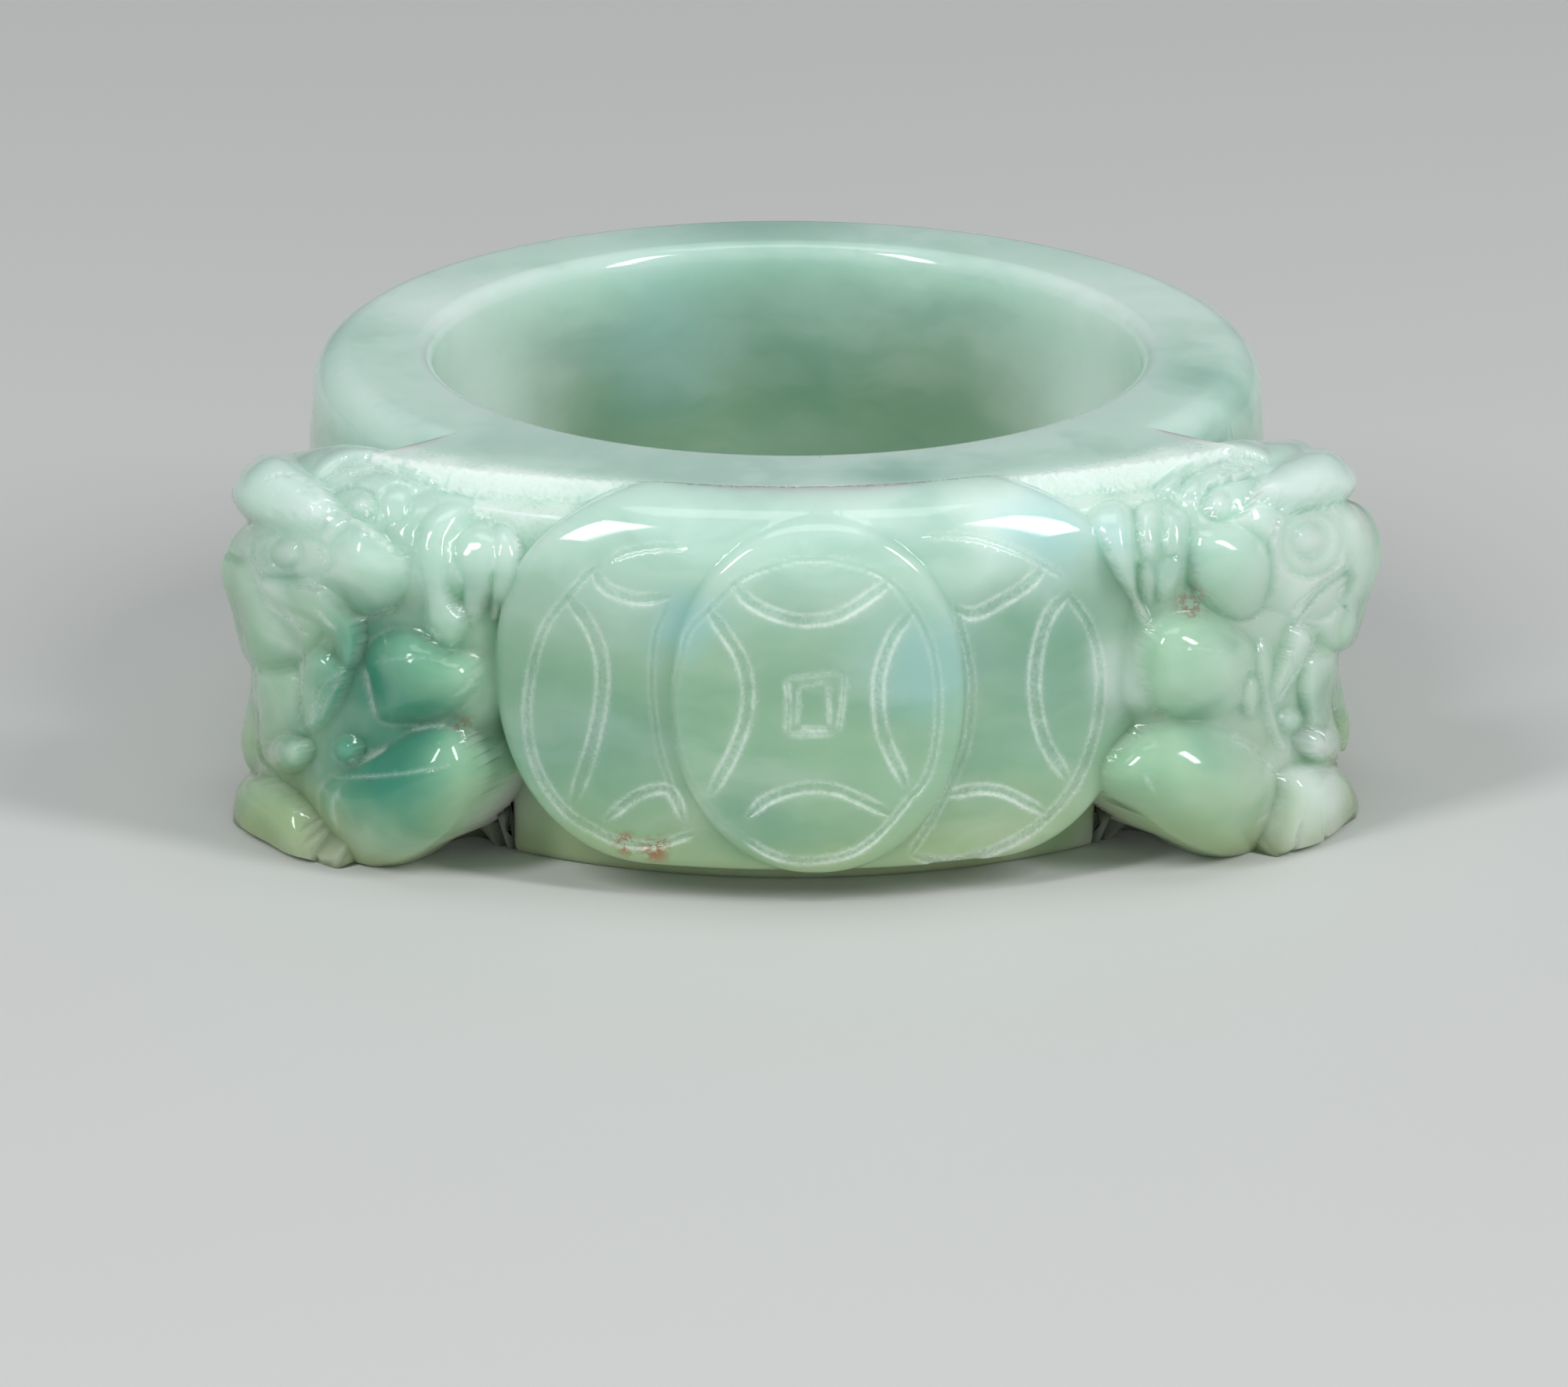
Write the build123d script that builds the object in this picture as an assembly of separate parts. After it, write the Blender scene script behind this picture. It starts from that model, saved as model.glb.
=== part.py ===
from build123d import *
from math import asin, cos, radians, sin
import os

# A finger ring carved from one piece of jade. It lies on its side: the finger's axis is Z, the
# origin is the middle of the bore, and the carved front faces -Y. Lengths are in mm, angles in
# degrees. A place in the carving is a turn round the ring from the front's middle line towards +X,
# a distance out from the axis, and a height above the flat side that the ring lies on.

# Band
bore_radius = 9.5
band_height = 10.6
wall_at_top = 3.1
wall_at_bottom = 3.6
wall_bulge = 0.12
bore_edge_radius = 0.45
top_edge_radius = 0.9
bottom_edge_radius = 0.25

# Three overlapping coins on the front. The two outer ones are one panel with round ends, and the
# middle one lies on top of it.
middle_coin_out = 15.3
side_coin_out = 15.05
middle_coin_half_width = 3.87
side_coin_half_width = 4.45
side_coin_turn = 16.8
coin_foot_gap = 0.85
coin_top_rise = 0.09
coin_top_roll = 2.0

# Engraving on the coins, in mm across a face
rim_width = 0.45
rim_width_at_top = 1.1
line_width = 0.3
line_depth = 0.3
field_half_width = 1.66
field_half_height = 2.3
side_arc_radius = 3.65
end_arc_radius = 2.8
hole_half_width = 0.72
hole_half_height = 0.78

# Behind the coins the polished top runs out to a land, and a sunk ground lies in front of it
land_out = 12.75
ground_out = 13.85
ground_step = 0.4
ground_half_turn = 40.0

# How far the two beasts stand out from the band at most, and the shortest limb that is not a ball
relief_depth = 5.7
least_length = 0.01

# One beast, as rounded limbs between two balls each. A ball has its turn in degrees, its centre's
# distance out from the band as a share of relief_depth, its centre's height and its radius as
# shares of band_height. The other beast is its mirror image.
limb_columns = ("name", "turn", "out", "up", "radius", "end_turn", "end_out", "end_up", "end_radius")
beast_limbs = (
    ("body", 51, 0.27, 0.225, 0.220, 51, 0.27, 0.760, 0.220),
    ("chest_mass", 43, 0.17, 0.215, 0.185, 43, 0.17, 0.770, 0.185),
    ("flank_mass", 60, 0.21, 0.215, 0.205, 60, 0.21, 0.760, 0.205),
    ("skull", 49, 0.38, 0.790, 0.160, 56, 0.36, 0.780, 0.155),
    ("rump", 66, 0.30, 0.155, 0.135, 64, 0.28, 0.40, 0.110),
    ("flank", 68, 0.30, 0.650, 0.135, 66, 0.28, 0.42, 0.110),
    ("mane", 51, 0.24, 0.905, 0.085, 66, 0.24, 0.870, 0.090),
    ("haunch", 41.2, 0.41, 0.172, 0.178, 44.8, 0.46, 0.168, 0.178),
    ("hind_foot", 50.0, 0.74, 0.098, 0.102, 55.5, 0.62, 0.125, 0.115),
    ("shank", 57.5, 0.50, 0.20, 0.110, 58, 0.52, 0.40, 0.095),
    ("chest", 41.0, 0.36, 0.470, 0.130, 46.5, 0.49, 0.490, 0.115),
    ("shoulder", 50.8, 0.53, 0.500, 0.104, 51.5, 0.62, 0.340, 0.090),
    ("cheek", 44.5, 0.49, 0.735, 0.115, 48.5, 0.53, 0.715, 0.110),
    ("snout", 48.5, 0.48, 0.905, 0.085, 56.5, 0.64, 0.905, 0.085),
    ("jaw", 58, 0.60, 0.755, 0.100, 57.5, 0.58, 0.570, 0.096),
    ("lip", 49.2, 0.72, 0.665, 0.050, 55.2, 0.70, 0.658, 0.065),
    ("pearl", 50.5, 0.72, 0.805, 0.060, 50.5, 0.72, 0.805, 0.060),
    ("brow", 41.0, 0.22, 0.945, 0.050, 49.5, 0.36, 0.960, 0.052),
    ("eye", 44.7, 0.46, 0.905, 0.048, 44.7, 0.46, 0.905, 0.048),
    ("breast", 47.0, 0.46, 0.360, 0.130, 48.5, 0.52, 0.570, 0.120),
    ("throat_tuft", 48.2, 0.74, 0.570, 0.050, 47.0, 0.71, 0.420, 0.030),
    ("knee_ball", 49.6, 0.78, 0.330, 0.050, 49.6, 0.79, 0.285, 0.050),
    ("toe_ball", 45.4, 0.66, 0.360, 0.045, 45.4, 0.66, 0.360, 0.045),
    ("palm", 33.5, 0.26, 0.790, 0.100, 39.5, 0.28, 0.770, 0.110),
    ("first_finger", 31.4, 0.40, 0.880, 0.050, 32.6, 0.41, 0.715, 0.034),
    ("second_finger", 35.0, 0.42, 0.885, 0.052, 35.2, 0.42, 0.700, 0.036),
    ("third_finger", 38.7, 0.40, 0.870, 0.052, 38.0, 0.40, 0.685, 0.038),
    ("wrist", 34.0, 0.22, 0.820, 0.095, 42, 0.20, 0.800, 0.120),
)

half_height = band_height / 2
outer_radius_top = bore_radius + wall_at_top
outer_radius_bottom = bore_radius + wall_at_bottom
coin_half_height = (band_height + coin_top_rise - coin_foot_gap) / 2
coin_middle = coin_foot_gap + coin_half_height
pattern_middle = (rim_width - rim_width_at_top) / 2


def on_ring(turn, out, height):
    """Point at a turn, a distance out from the axis and a height above the flat side."""
    angle = radians(turn)
    return Vector(out * sin(angle), -out * cos(angle), height - half_height)


def band():
    """Plain band: a straight bore, flat sides and a slightly bulged outer wall."""
    inner_low = (bore_radius, -half_height)
    outer_low = (outer_radius_bottom, -half_height)
    outer_middle = ((outer_radius_bottom + outer_radius_top) / 2 + wall_bulge, 0)
    outer_high = (outer_radius_top, half_height)
    inner_high = (bore_radius, half_height)
    section = make_face([
        Line(inner_low, outer_low),
        ThreePointArc(outer_low, outer_middle, outer_high),
        Line(outer_high, inner_high),
        Line(inner_high, inner_low),
    ])
    solid = revolve(Plane.XZ * section, Axis.Z)
    rims = solid.edges().filter_by(GeomType.CIRCLE)
    upper = rims.group_by(Axis.Z)[-1].sort_by(SortBy.LENGTH)
    lower = rims.group_by(Axis.Z)[0].sort_by(SortBy.LENGTH)
    solid = fillet([upper[0], lower[0]], bore_edge_radius)
    rims = solid.edges().filter_by(GeomType.CIRCLE)
    solid = fillet(rims.group_by(Axis.Z)[-1].sort_by(SortBy.LENGTH)[-1], top_edge_radius)
    rims = solid.edges().filter_by(GeomType.CIRCLE)
    return fillet(rims.group_by(Axis.Z)[0].sort_by(SortBy.LENGTH)[-1], bottom_edge_radius)


def ground():
    """Land and sunk ground that join the coins to the band behind their upper edges."""
    middle = bore_radius + wall_at_top / 2
    land = extrude(Circle(land_out) - Circle(middle), band_height - coin_middle)
    sunk = extrude(Circle(ground_out) - Circle(middle), band_height - ground_step - coin_middle)
    return Pos(0, 0, coin_middle - half_height) * (land + sunk) & wedge(ground_half_turn)


def coin_plane(turn):
    """Plane on the axis that faces out at a turn, with its own Y up and its origin at mid coin."""
    out = on_ring(turn, 1, half_height)
    along = Vector(-out.Y, out.X, 0)
    return Plane(origin=(0, 0, coin_middle - half_height), x_dir=along, z_dir=out)


def wedge(half_turn):
    """Block that holds everything at the front between two turns, over the height of the coins."""
    reach = 2 * ground_out
    side = reach * sin(radians(half_turn))
    depth = reach * cos(radians(half_turn))
    corners = Polyline((0, 0), (side, -depth), (-side, -depth), close=True)
    return Pos(0, 0, coin_foot_gap - half_height) * extrude(make_face(corners), 2 * coin_half_height)


def coin_face(face_out):
    """Round face of a coin, rolled back at the top."""
    face = Cylinder(face_out, band_height + 4 * coin_top_rise)
    return fillet(face.edges().filter_by(GeomType.CIRCLE).group_by(Axis.Z)[-1], coin_top_roll)


def behind_coins():
    """Room behind the coins: the middle of the band, and the sunk ground behind their upper edges."""
    room_out = (land_out + ground_out) / 2
    inside = Cylinder(bore_radius + wall_at_bottom / 2, 2 * band_height)
    return inside + Pos(0, 0, band_height - 2 * ground_step) * Cylinder(room_out, band_height)


def coin_blank(turn, half_width):
    """Oval block that reaches from the axis out past the coin's face."""
    return extrude(coin_plane(turn) * Ellipse(half_width, coin_half_height), 2 * middle_coin_out)


def coin_lines(half_width):
    """Lines on a coin: the rim and four arcs round a field with hollow sides."""
    inner_width = half_width - rim_width
    inner_height = coin_half_height - (rim_width + rim_width_at_top) / 2
    widen = half_width / middle_coin_half_width
    inside = Pos(0, pattern_middle) * Ellipse(inner_width, inner_height)
    core = Pos(0, pattern_middle) * Ellipse(inner_width - line_width, inner_height - line_width)
    lines = inside - core
    for side in (-1, 1):
        across = side * (field_half_width * widen + side_arc_radius)
        upward = pattern_middle + side * (field_half_height + end_arc_radius)
        for place, radius in (((across, pattern_middle), side_arc_radius), ((0, upward), end_arc_radius)):
            arc = Circle(radius) - Circle(radius - line_width)
            lines += (Pos(*place) * arc) & inside
    return lines


def square_hole():
    """Outline of the square hole, which the middle coin alone shows."""
    outer = Rectangle(2 * hole_half_width, 2 * hole_half_height)
    inner = Rectangle(2 * (hole_half_width - line_width), 2 * (hole_half_height - line_width))
    return Pos(0, pattern_middle) * (outer - inner)


def engraving(turn, lines, face_out):
    """Cutter for lines on the face at a turn, down to the depth of a line."""
    floor = Cylinder(face_out - line_depth, 2 * band_height)
    return extrude(coin_plane(turn) * lines, 2 * face_out) - floor


def coins():
    """Panel of the two outer coins, and the middle coin on top of it."""
    panel = wedge(side_coin_turn)
    for turn in (-side_coin_turn, side_coin_turn):
        panel += coin_blank(turn, side_coin_half_width)
    panel = (panel & coin_face(side_coin_out)) - behind_coins()
    for turn in (-side_coin_turn, side_coin_turn):
        panel -= engraving(turn, coin_lines(side_coin_half_width), side_coin_out)
    middle = (coin_blank(0, middle_coin_half_width) & coin_face(middle_coin_out)) - behind_coins()
    middle -= engraving(0, coin_lines(middle_coin_half_width) + square_hole(), middle_coin_out)
    return panel + middle


def ball(centre, radius):
    return Pos(*centre) * Sphere(radius)


def limb(start, start_radius, end, end_radius):
    """Rounded limb: two balls and the cone that touches both."""
    along = end - start
    if along.length <= abs(start_radius - end_radius) + least_length:
        return ball(start, max(start_radius, end_radius))
    lean = asin((start_radius - end_radius) / along.length)
    first = (start_radius * sin(lean), start_radius * cos(lean))
    last = (along.length + end_radius * sin(lean), end_radius * cos(lean))
    back = (-start_radius * cos(lean / 2 + radians(45)), start_radius * sin(lean / 2 + radians(45)))
    front_angle = (radians(90) - lean) / 2
    front = (along.length + end_radius * cos(front_angle), end_radius * sin(front_angle))
    tip = (along.length + end_radius, 0)
    outline = make_face([
        ThreePointArc((-start_radius, 0), back, first),
        Line(first, last),
        ThreePointArc(last, front, tip),
        Line(tip, (-start_radius, 0)),
    ])
    side = along.cross(Vector(0, 0, 1))
    if side.length < least_length:
        side = Vector(1, 0, 0)
    return Plane(origin=start, x_dir=along, z_dir=side) * revolve(outline, Axis.X)


def beast_limb(row):
    """One limb of the beast on the +X side, from its row of shares."""
    part = dict(zip(limb_columns, row))
    ends = []
    for start in ("", "end_"):
        out = outer_radius_bottom + part[start + "out"] * relief_depth
        ends.append(on_ring(part[start + "turn"], out, part[start + "up"] * band_height))
        ends.append(part[start + "radius"] * band_height)
    return limb(*ends)


def beast():
    """Crouching beast at one corner of the front, gripping the coins."""
    solid = beast_limb(beast_limbs[0])
    for row in beast_limbs[1:]:
        solid += beast_limb(row)
    return solid


def ring():
    """Band, ground, coins and both beasts, as the one piece of stone that they are."""
    solid = band() + ground() + coins()
    carved = beast()
    solid += carved
    solid += mirror(carved, Plane.YZ)
    below = Box(4 * outer_radius_bottom, 4 * outer_radius_bottom, band_height)
    return solid - Pos(0, 0, -half_height - band_height / 2) * below


os.makedirs("parts", exist_ok=True)
jadeite_ring = ring()
export_step(jadeite_ring, "parts/jadeite_ring.step")
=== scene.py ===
# %% [markdown]
# # A carved jade ring
# The ring is one piece of pale, cloudy jade lying on its side: a broad plain band, three old coins
# that overlap across the front, and a crouching beast at each side that grips the coins. A carver
# cuts it from one block, so the visible stone is one closed skin here too. A skin that is all one
# surface also lets light travel inside the stone without meeting a hidden wall.

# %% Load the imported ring
import math

import bpy
import numpy as np
from mathutils import Matrix, Vector


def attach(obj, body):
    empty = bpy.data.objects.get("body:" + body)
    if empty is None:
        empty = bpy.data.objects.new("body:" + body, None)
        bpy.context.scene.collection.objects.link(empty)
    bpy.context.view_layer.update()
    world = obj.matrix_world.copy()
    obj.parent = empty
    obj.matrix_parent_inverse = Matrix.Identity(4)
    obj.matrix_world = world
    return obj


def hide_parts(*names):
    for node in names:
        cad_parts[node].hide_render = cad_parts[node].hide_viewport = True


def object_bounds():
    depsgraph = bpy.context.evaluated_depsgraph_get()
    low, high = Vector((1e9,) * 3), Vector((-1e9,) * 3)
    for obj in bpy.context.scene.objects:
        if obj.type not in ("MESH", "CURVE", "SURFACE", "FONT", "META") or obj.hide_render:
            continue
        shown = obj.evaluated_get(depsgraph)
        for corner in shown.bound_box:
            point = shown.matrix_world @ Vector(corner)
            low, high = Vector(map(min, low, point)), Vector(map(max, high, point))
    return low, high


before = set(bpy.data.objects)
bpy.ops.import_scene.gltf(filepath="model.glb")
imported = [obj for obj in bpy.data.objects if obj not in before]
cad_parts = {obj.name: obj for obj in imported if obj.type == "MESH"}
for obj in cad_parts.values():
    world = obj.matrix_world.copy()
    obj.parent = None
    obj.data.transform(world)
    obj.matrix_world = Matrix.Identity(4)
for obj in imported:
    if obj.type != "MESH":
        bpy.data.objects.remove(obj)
cad_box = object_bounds()
print("packed nodes:", sorted(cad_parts))

# %% [markdown]
# ## Sizes of the ring
# Everything is worked out in millimetres with the finger's axis along Z, the origin in the middle of
# the bore and the carved front towards -Y, and becomes metres at the very end. A place on the ring
# is a turn in degrees from the front's middle line, a distance out from the axis, and a height
# above the side that the ring lies on.

# %% Name the sizes
MM = 0.001
BORE = 9.5
BAND_HEIGHT = 10.6
HALF = BAND_HEIGHT / 2
BAND_OUT_TOP = 12.6
BAND_OUT_LOW = 13.1
BAND_BULGE = 0.12
BORE_ROUND = 0.45
TOP_ROUND = 0.9
FOOT_ROUND = 0.25
COIN_HALF_HEIGHT = 4.92
COIN_FOOT = 0.85
COIN_MIDDLE = COIN_FOOT + COIN_HALF_HEIGHT
rng = np.random.default_rng(7)
print("band:", 2 * BORE, "mm bore,", BAND_HEIGHT, "mm high")

# %% [markdown]
# ## Distance fields, the carver's rough forms
# A form can be described by how far any point in space lies from its surface: negative inside,
# positive outside. Such a distance is easy to join: the smaller of two distances is both forms
# together, and a softened minimum leaves the small fillet that a carving tool and polishing leave
# between them. All of it is done on whole arrays of points.

# %% Helpers for distances
def smooth_min(a, b, blend):
    """The smaller of two distances, rounded off where they differ by less than blend."""
    share = np.clip(0.5 + 0.5 * (b - a) / blend, 0, 1)
    return b + (a - b) * share - blend * share * (1 - share)


def smooth_max(a, b, blend):
    """The larger of two distances, rounded off where they differ by less than blend."""
    return -smooth_min(-a, -b, blend)


def smooth_step(low, high, x):
    """0 below low, 1 above high, and the cubic 3t^2 - 2t^3 between."""
    t = np.clip((x - low) / (high - low), 0, 1)
    return t * t * (3 - 2 * t)


def on_ring(turn, out, height):
    """Point at a turn in degrees, a distance out and a height above the resting side."""
    angle = math.radians(turn)
    return np.array([out * math.sin(angle), -out * math.cos(angle), height - HALF])


def limb_distance(points, start, start_radius, end, end_radius):
    """Distance to a bone with a ball at each end: the distance to the nearest place on the line
    between the balls, less the radius there, which runs evenly from one ball's to the other's."""
    along = end - start
    length_squared = max(float(along @ along), 1e-9)
    from_start = points - start
    share = np.clip(from_start @ along / length_squared, 0, 1)
    gap = from_start - share[:, None] * along
    return np.sqrt((gap ** 2).sum(axis=1)) - start_radius - share * (end_radius - start_radius)


print("two distances of 1 mm join to", round(float(smooth_min(1.0, 1.0, 0.4)), 2), "mm")

# %% [markdown]
# ## The band
# The plain part is a turned ring: a straight bore, flat sides, and an outer wall that leans in a
# little towards the top. Its distance is that of its section, because every section is the same.

# %% Band distance
def band_distance(out, height):
    """Distance to the band's section: a box between the bore and the leaning wall, with its own
    rounding at the bore's edges, the top outer edge and the bottom outer edge."""
    rise = height / HALF
    wall = (BAND_OUT_TOP + BAND_OUT_LOW) / 2 + (BAND_OUT_TOP - BAND_OUT_LOW) / 2 * rise
    wall = wall + BAND_BULGE * (1 - rise ** 2)
    middle = (BORE + wall) / 2
    rounding = np.where(out < middle, BORE_ROUND, np.where(height > 0, TOP_ROUND, FOOT_ROUND))
    across = np.maximum(BORE - out, out - wall) + rounding
    upward = np.abs(height) - HALF + rounding
    outside = np.hypot(np.maximum(across, 0), np.maximum(upward, 0))
    return outside + np.minimum(np.maximum(across, upward), 0) - rounding


wall_middle = (BORE + BAND_OUT_TOP) / 2
print("inside the wall the distance is", round(float(band_distance(wall_middle, 0.0)), 2), "mm")

# %% [markdown]
# ## The three coins
# The two outer coins are worked as one panel: their outer ends are round, and between them the
# upper and lower edges run on behind the middle coin, which lies on top and stands a quarter of a
# millimetre further out. The faces keep one distance from the axis and roll back over the top edge,
# and a narrow groove parts that edge from the polished top.
# Their engraving is drawn further down, as a shallow channel that is cut into these faces.

# %% Coin sizes and faces
PANEL_TURN = 1.3
PANEL_HALF_TURN = 34.7
COIN_HALF_WIDTH = 4.45
COIN_FACE = 15.05
SIDE_COIN_TURN = PANEL_HALF_TURN - math.degrees(COIN_HALF_WIDTH / COIN_FACE)
MIDDLE_TURN = 0.6
MIDDLE_HALF_WIDTH = 3.95
MIDDLE_HALF_HEIGHT = 4.75
MIDDLE_FACE = 15.3
ROLL_START = 3.4
ROLL_HEIGHT = 2.0
ROLL_BACK = 2.05
ROOM_OUT = 12.85
ROOM_DEPTH = 0.8
ROLL_SHARE = 0.98
PLATE_ROUND = 0.45
PLATE_BACK = BAND_OUT_TOP - 1
COIN_ON_COIN = 0.05
TOP_POWER = 2.15
FOOT_POWER = 2.1


def oval_distance(across, upward, half_width, half_height, power=2.0):
    """Near distance to an oval whose level is the power-mean of the two shares: the level less one,
    over the level's slope."""
    a, b = np.abs(across) / half_width + 1e-6, np.abs(upward) / half_height + 1e-6
    level = (a ** power + b ** power) ** (1 / power)
    slope = np.hypot((a / level) ** (power - 1) / half_width, (b / level) ** (power - 1) / half_height)
    return (level - 1) / slope


def plate(edge, out, height, face, engraved):
    """Distance to a plate with that edge. Its face rolls back over the top like a quarter of an
    oval, and the engraving is a height that is added to it. Room is kept for the land behind it."""
    roll = np.clip((height - ROLL_START) / ROLL_HEIGHT, 0, 1)
    rolled = face - ROLL_BACK * (1 - np.sqrt(1 - ROLL_SHARE * roll ** 2))
    room = np.minimum(ROOM_OUT - out, height - (HALF - ROOM_DEPTH))
    raised = np.maximum(out - rolled - engraved, PLATE_BACK - out)
    return np.maximum(smooth_max(edge, raised, PLATE_ROUND), room)


def coins_distance(turn, out, height, engraved):
    """Distance to the panel of coins, the middle coin included."""
    upward = height + HALF - COIN_MIDDLE
    beyond = np.maximum(np.abs(turn - PANEL_TURN) - SIDE_COIN_TURN, 0)
    power = np.where(upward > 0, TOP_POWER, FOOT_POWER)
    across = COIN_FACE * np.radians(beyond)
    edge = oval_distance(across, upward, COIN_HALF_WIDTH, COIN_HALF_HEIGHT, power)
    across = MIDDLE_FACE * np.radians(turn - MIDDLE_TURN)
    upward = upward + COIN_HALF_HEIGHT - MIDDLE_HALF_HEIGHT
    middle_edge = oval_distance(across, upward, MIDDLE_HALF_WIDTH, MIDDLE_HALF_HEIGHT, TOP_POWER)
    return smooth_min(plate(edge, out, height, COIN_FACE, engraved),
                      plate(middle_edge, out, height, MIDDLE_FACE, engraved), COIN_ON_COIN)


print("the outer coins stand", round(SIDE_COIN_TURN, 1), "degrees to either side of", PANEL_TURN)

# %% [markdown]
# ## Where the photograph's camera stood
# The carving is drawn on the photograph, so the script has to know where each place of the ring
# shows in it. A long lens, 18.4 degrees above the table and a little to the left of the front, was
# fitted to the rims and outlines. The same camera takes the picture at the end.

# %% The photograph's camera
PICTURE_WIDTH = 2000
PICTURE_HEIGHT = 1769
ELEVATION = 18.394
ROLL = -0.216
CAMERA_TURN = -2.6
LENS_PIXELS = 16969.4
RING_AHEAD = 359.48
RING_RIGHT = 0.0565
RING_UP = -0.7375
PIXELS_PER_MM = LENS_PIXELS / RING_AHEAD


def camera_axes():
    """Right, up and ahead of a camera that is raised, rolled and turned, and its place in mm. The
    middle of the ring's resting side lies at a known place before it."""
    tilt, twist, spin = np.radians([ELEVATION, ROLL, CAMERA_TURN])
    right = np.array([np.cos(twist), -np.sin(twist) * np.sin(tilt), -np.sin(twist) * np.cos(tilt)])
    up = np.array([np.sin(twist), np.cos(twist) * np.sin(tilt), np.cos(twist) * np.cos(tilt)])
    ahead = np.array([0, np.cos(tilt), -np.sin(tilt)])
    turned = np.array([[np.cos(spin), -np.sin(spin), 0], [np.sin(spin), np.cos(spin), 0], [0, 0, 1]])
    right, up, ahead = turned @ right, turned @ up, turned @ ahead
    place = np.array([0, 0, -HALF]) - RING_RIGHT * right - RING_UP * up - RING_AHEAD * ahead
    return right, up, ahead, place


CAMERA_RIGHT, CAMERA_UP, CAMERA_AHEAD, CAMERA_PLACE = camera_axes()


def seen_at(points):
    """Where points show in the photograph, in its pixels: the way right or down over the way ahead."""
    away = points - CAMERA_PLACE
    ahead = away @ CAMERA_AHEAD
    return np.stack([PICTURE_WIDTH / 2 + LENS_PIXELS * (away @ CAMERA_RIGHT) / ahead,
                     PICTURE_HEIGHT / 2 - LENS_PIXELS * (away @ CAMERA_UP) / ahead], axis=-1)


print("a millimetre of the ring is", round(PIXELS_PER_MM, 1), "pixels of the photograph")

# %% [markdown]
# ## The two beasts
# Each beast is a crouching animal with its head at the upper outer corner, a pearl in its mouth, and
# a paw on the coins. A carver first leaves a rough mass, then draws the forms on it and works each
# one into a low pillow that overlaps the next, and last cuts the lines. It is built the same way:
# a few balls and bones make the mass, and the forms are outlines read by eye off the photograph.
# A bone has the width of the fillet that joins it to the bones before it, and then for each of its
# two ends a turn, a distance out, a height and the radius of the ball there. The bone named stern
# sweeps down from the beast's back to the plain band.

# %% Rough mass of a beast
mass = (
    ("body", 0.6, ((51, 14.4, 0.0, 2.1), (51, 14.3, 8.0, 2.1))),
    ("side", 0.6, ((59, 14.3, 0.0, 2.1), (60, 14.2, 8.0, 2.1))),
    ("breast", 0.6, ((43, 14.1, 0.6, 1.9), (43, 14.1, 8.0, 2.0))),
    ("thigh", 0.6, ((39, 14.1, 0.8, 1.65), (38.5, 14.1, 2.8, 1.7))),
    ("throat", 0.5, ((38, 14.1, 5.2, 1.75), (39, 14.1, 6.6, 1.75))),
    ("skull", 0.5, ((47, 14.8, 8.6, 1.7), (57, 14.9, 8.4, 1.7))),
    ("jowl", 0.5, ((58, 14.9, 7.4, 1.6), (66, 14.8, 6.7, 1.5))),
    ("rump", 0.4, ((66, 14.8, 1.65, 1.4), (64, 14.7, 4.2, 1.15))),
    ("flank", 0.4, ((68, 14.7, 6.9, 1.35), (66, 14.7, 4.4, 1.15))),
    ("stern", 0.8, ((75, 13.2, 1.0, 1.3), (75, 13.2, 5.2, 1.2))),
    ("mane", 0.4, ((51, 14.4, 9.6, 0.85), (66, 14.4, 9.2, 0.9))),
    ("palm", 0.3, ((33.5, 14.3, 8.4, 1.0), (39.5, 14.6, 8.2, 1.25))),
)


def mass_distance(points):
    """Distance to the rough mass, on the +X side: its bones joined with soft fillets."""
    whole = None
    for _name, blend, (start, end) in mass:
        distance = limb_distance(points, on_ring(*start[:3]), start[3], on_ring(*end[:3]), end[3])
        whole = distance if whole is None else smooth_min(whole, distance, blend)
    return whole


print("bones in the mass:", len(mass))

# %% [markdown]
# ### The forms as they are drawn
# Both beasts were looked at in threefold enlargements of the photograph and the coins in a twofold
# one, and the points below are places read off those, in the enlargement's pixels. A form has
# a name, how far its edge stands off the rough mass, how much its middle rises above that, and how
# far in from the edge it reaches that height, all in millimetres. A later form lies on top of the
# earlier ones.

# %% The three enlargements
ENLARGED = {"right": 3, "left": 3, "coins": 2}
VIEW_CORNER = {"right": (1370, 545), "left": (260, 555), "coins": (600, 570)}
VIEW_SIZE = {"right": (1320, 1740), "left": (1320, 1740), "coins": (1760, 1120)}


def disc(x, y, radius):
    """Eight points round a circle."""
    angles = [math.pi / 4 * i for i in range(8)]
    return [(x + radius * math.cos(angle), y + radius * math.sin(angle)) for angle in angles]


print("a pixel of an enlargement is",
      {side: round(1 / times / PIXELS_PER_MM, 4) for side, times in ENLARGED.items()}, "mm")

# %% [markdown]
# The right beast has its snout raised over the pearl between its lips, an eye under a long brow and a
# full cheek. Below lie the arm, the chest, the haunch and the foot, and three fingers hold the coin.

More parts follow.
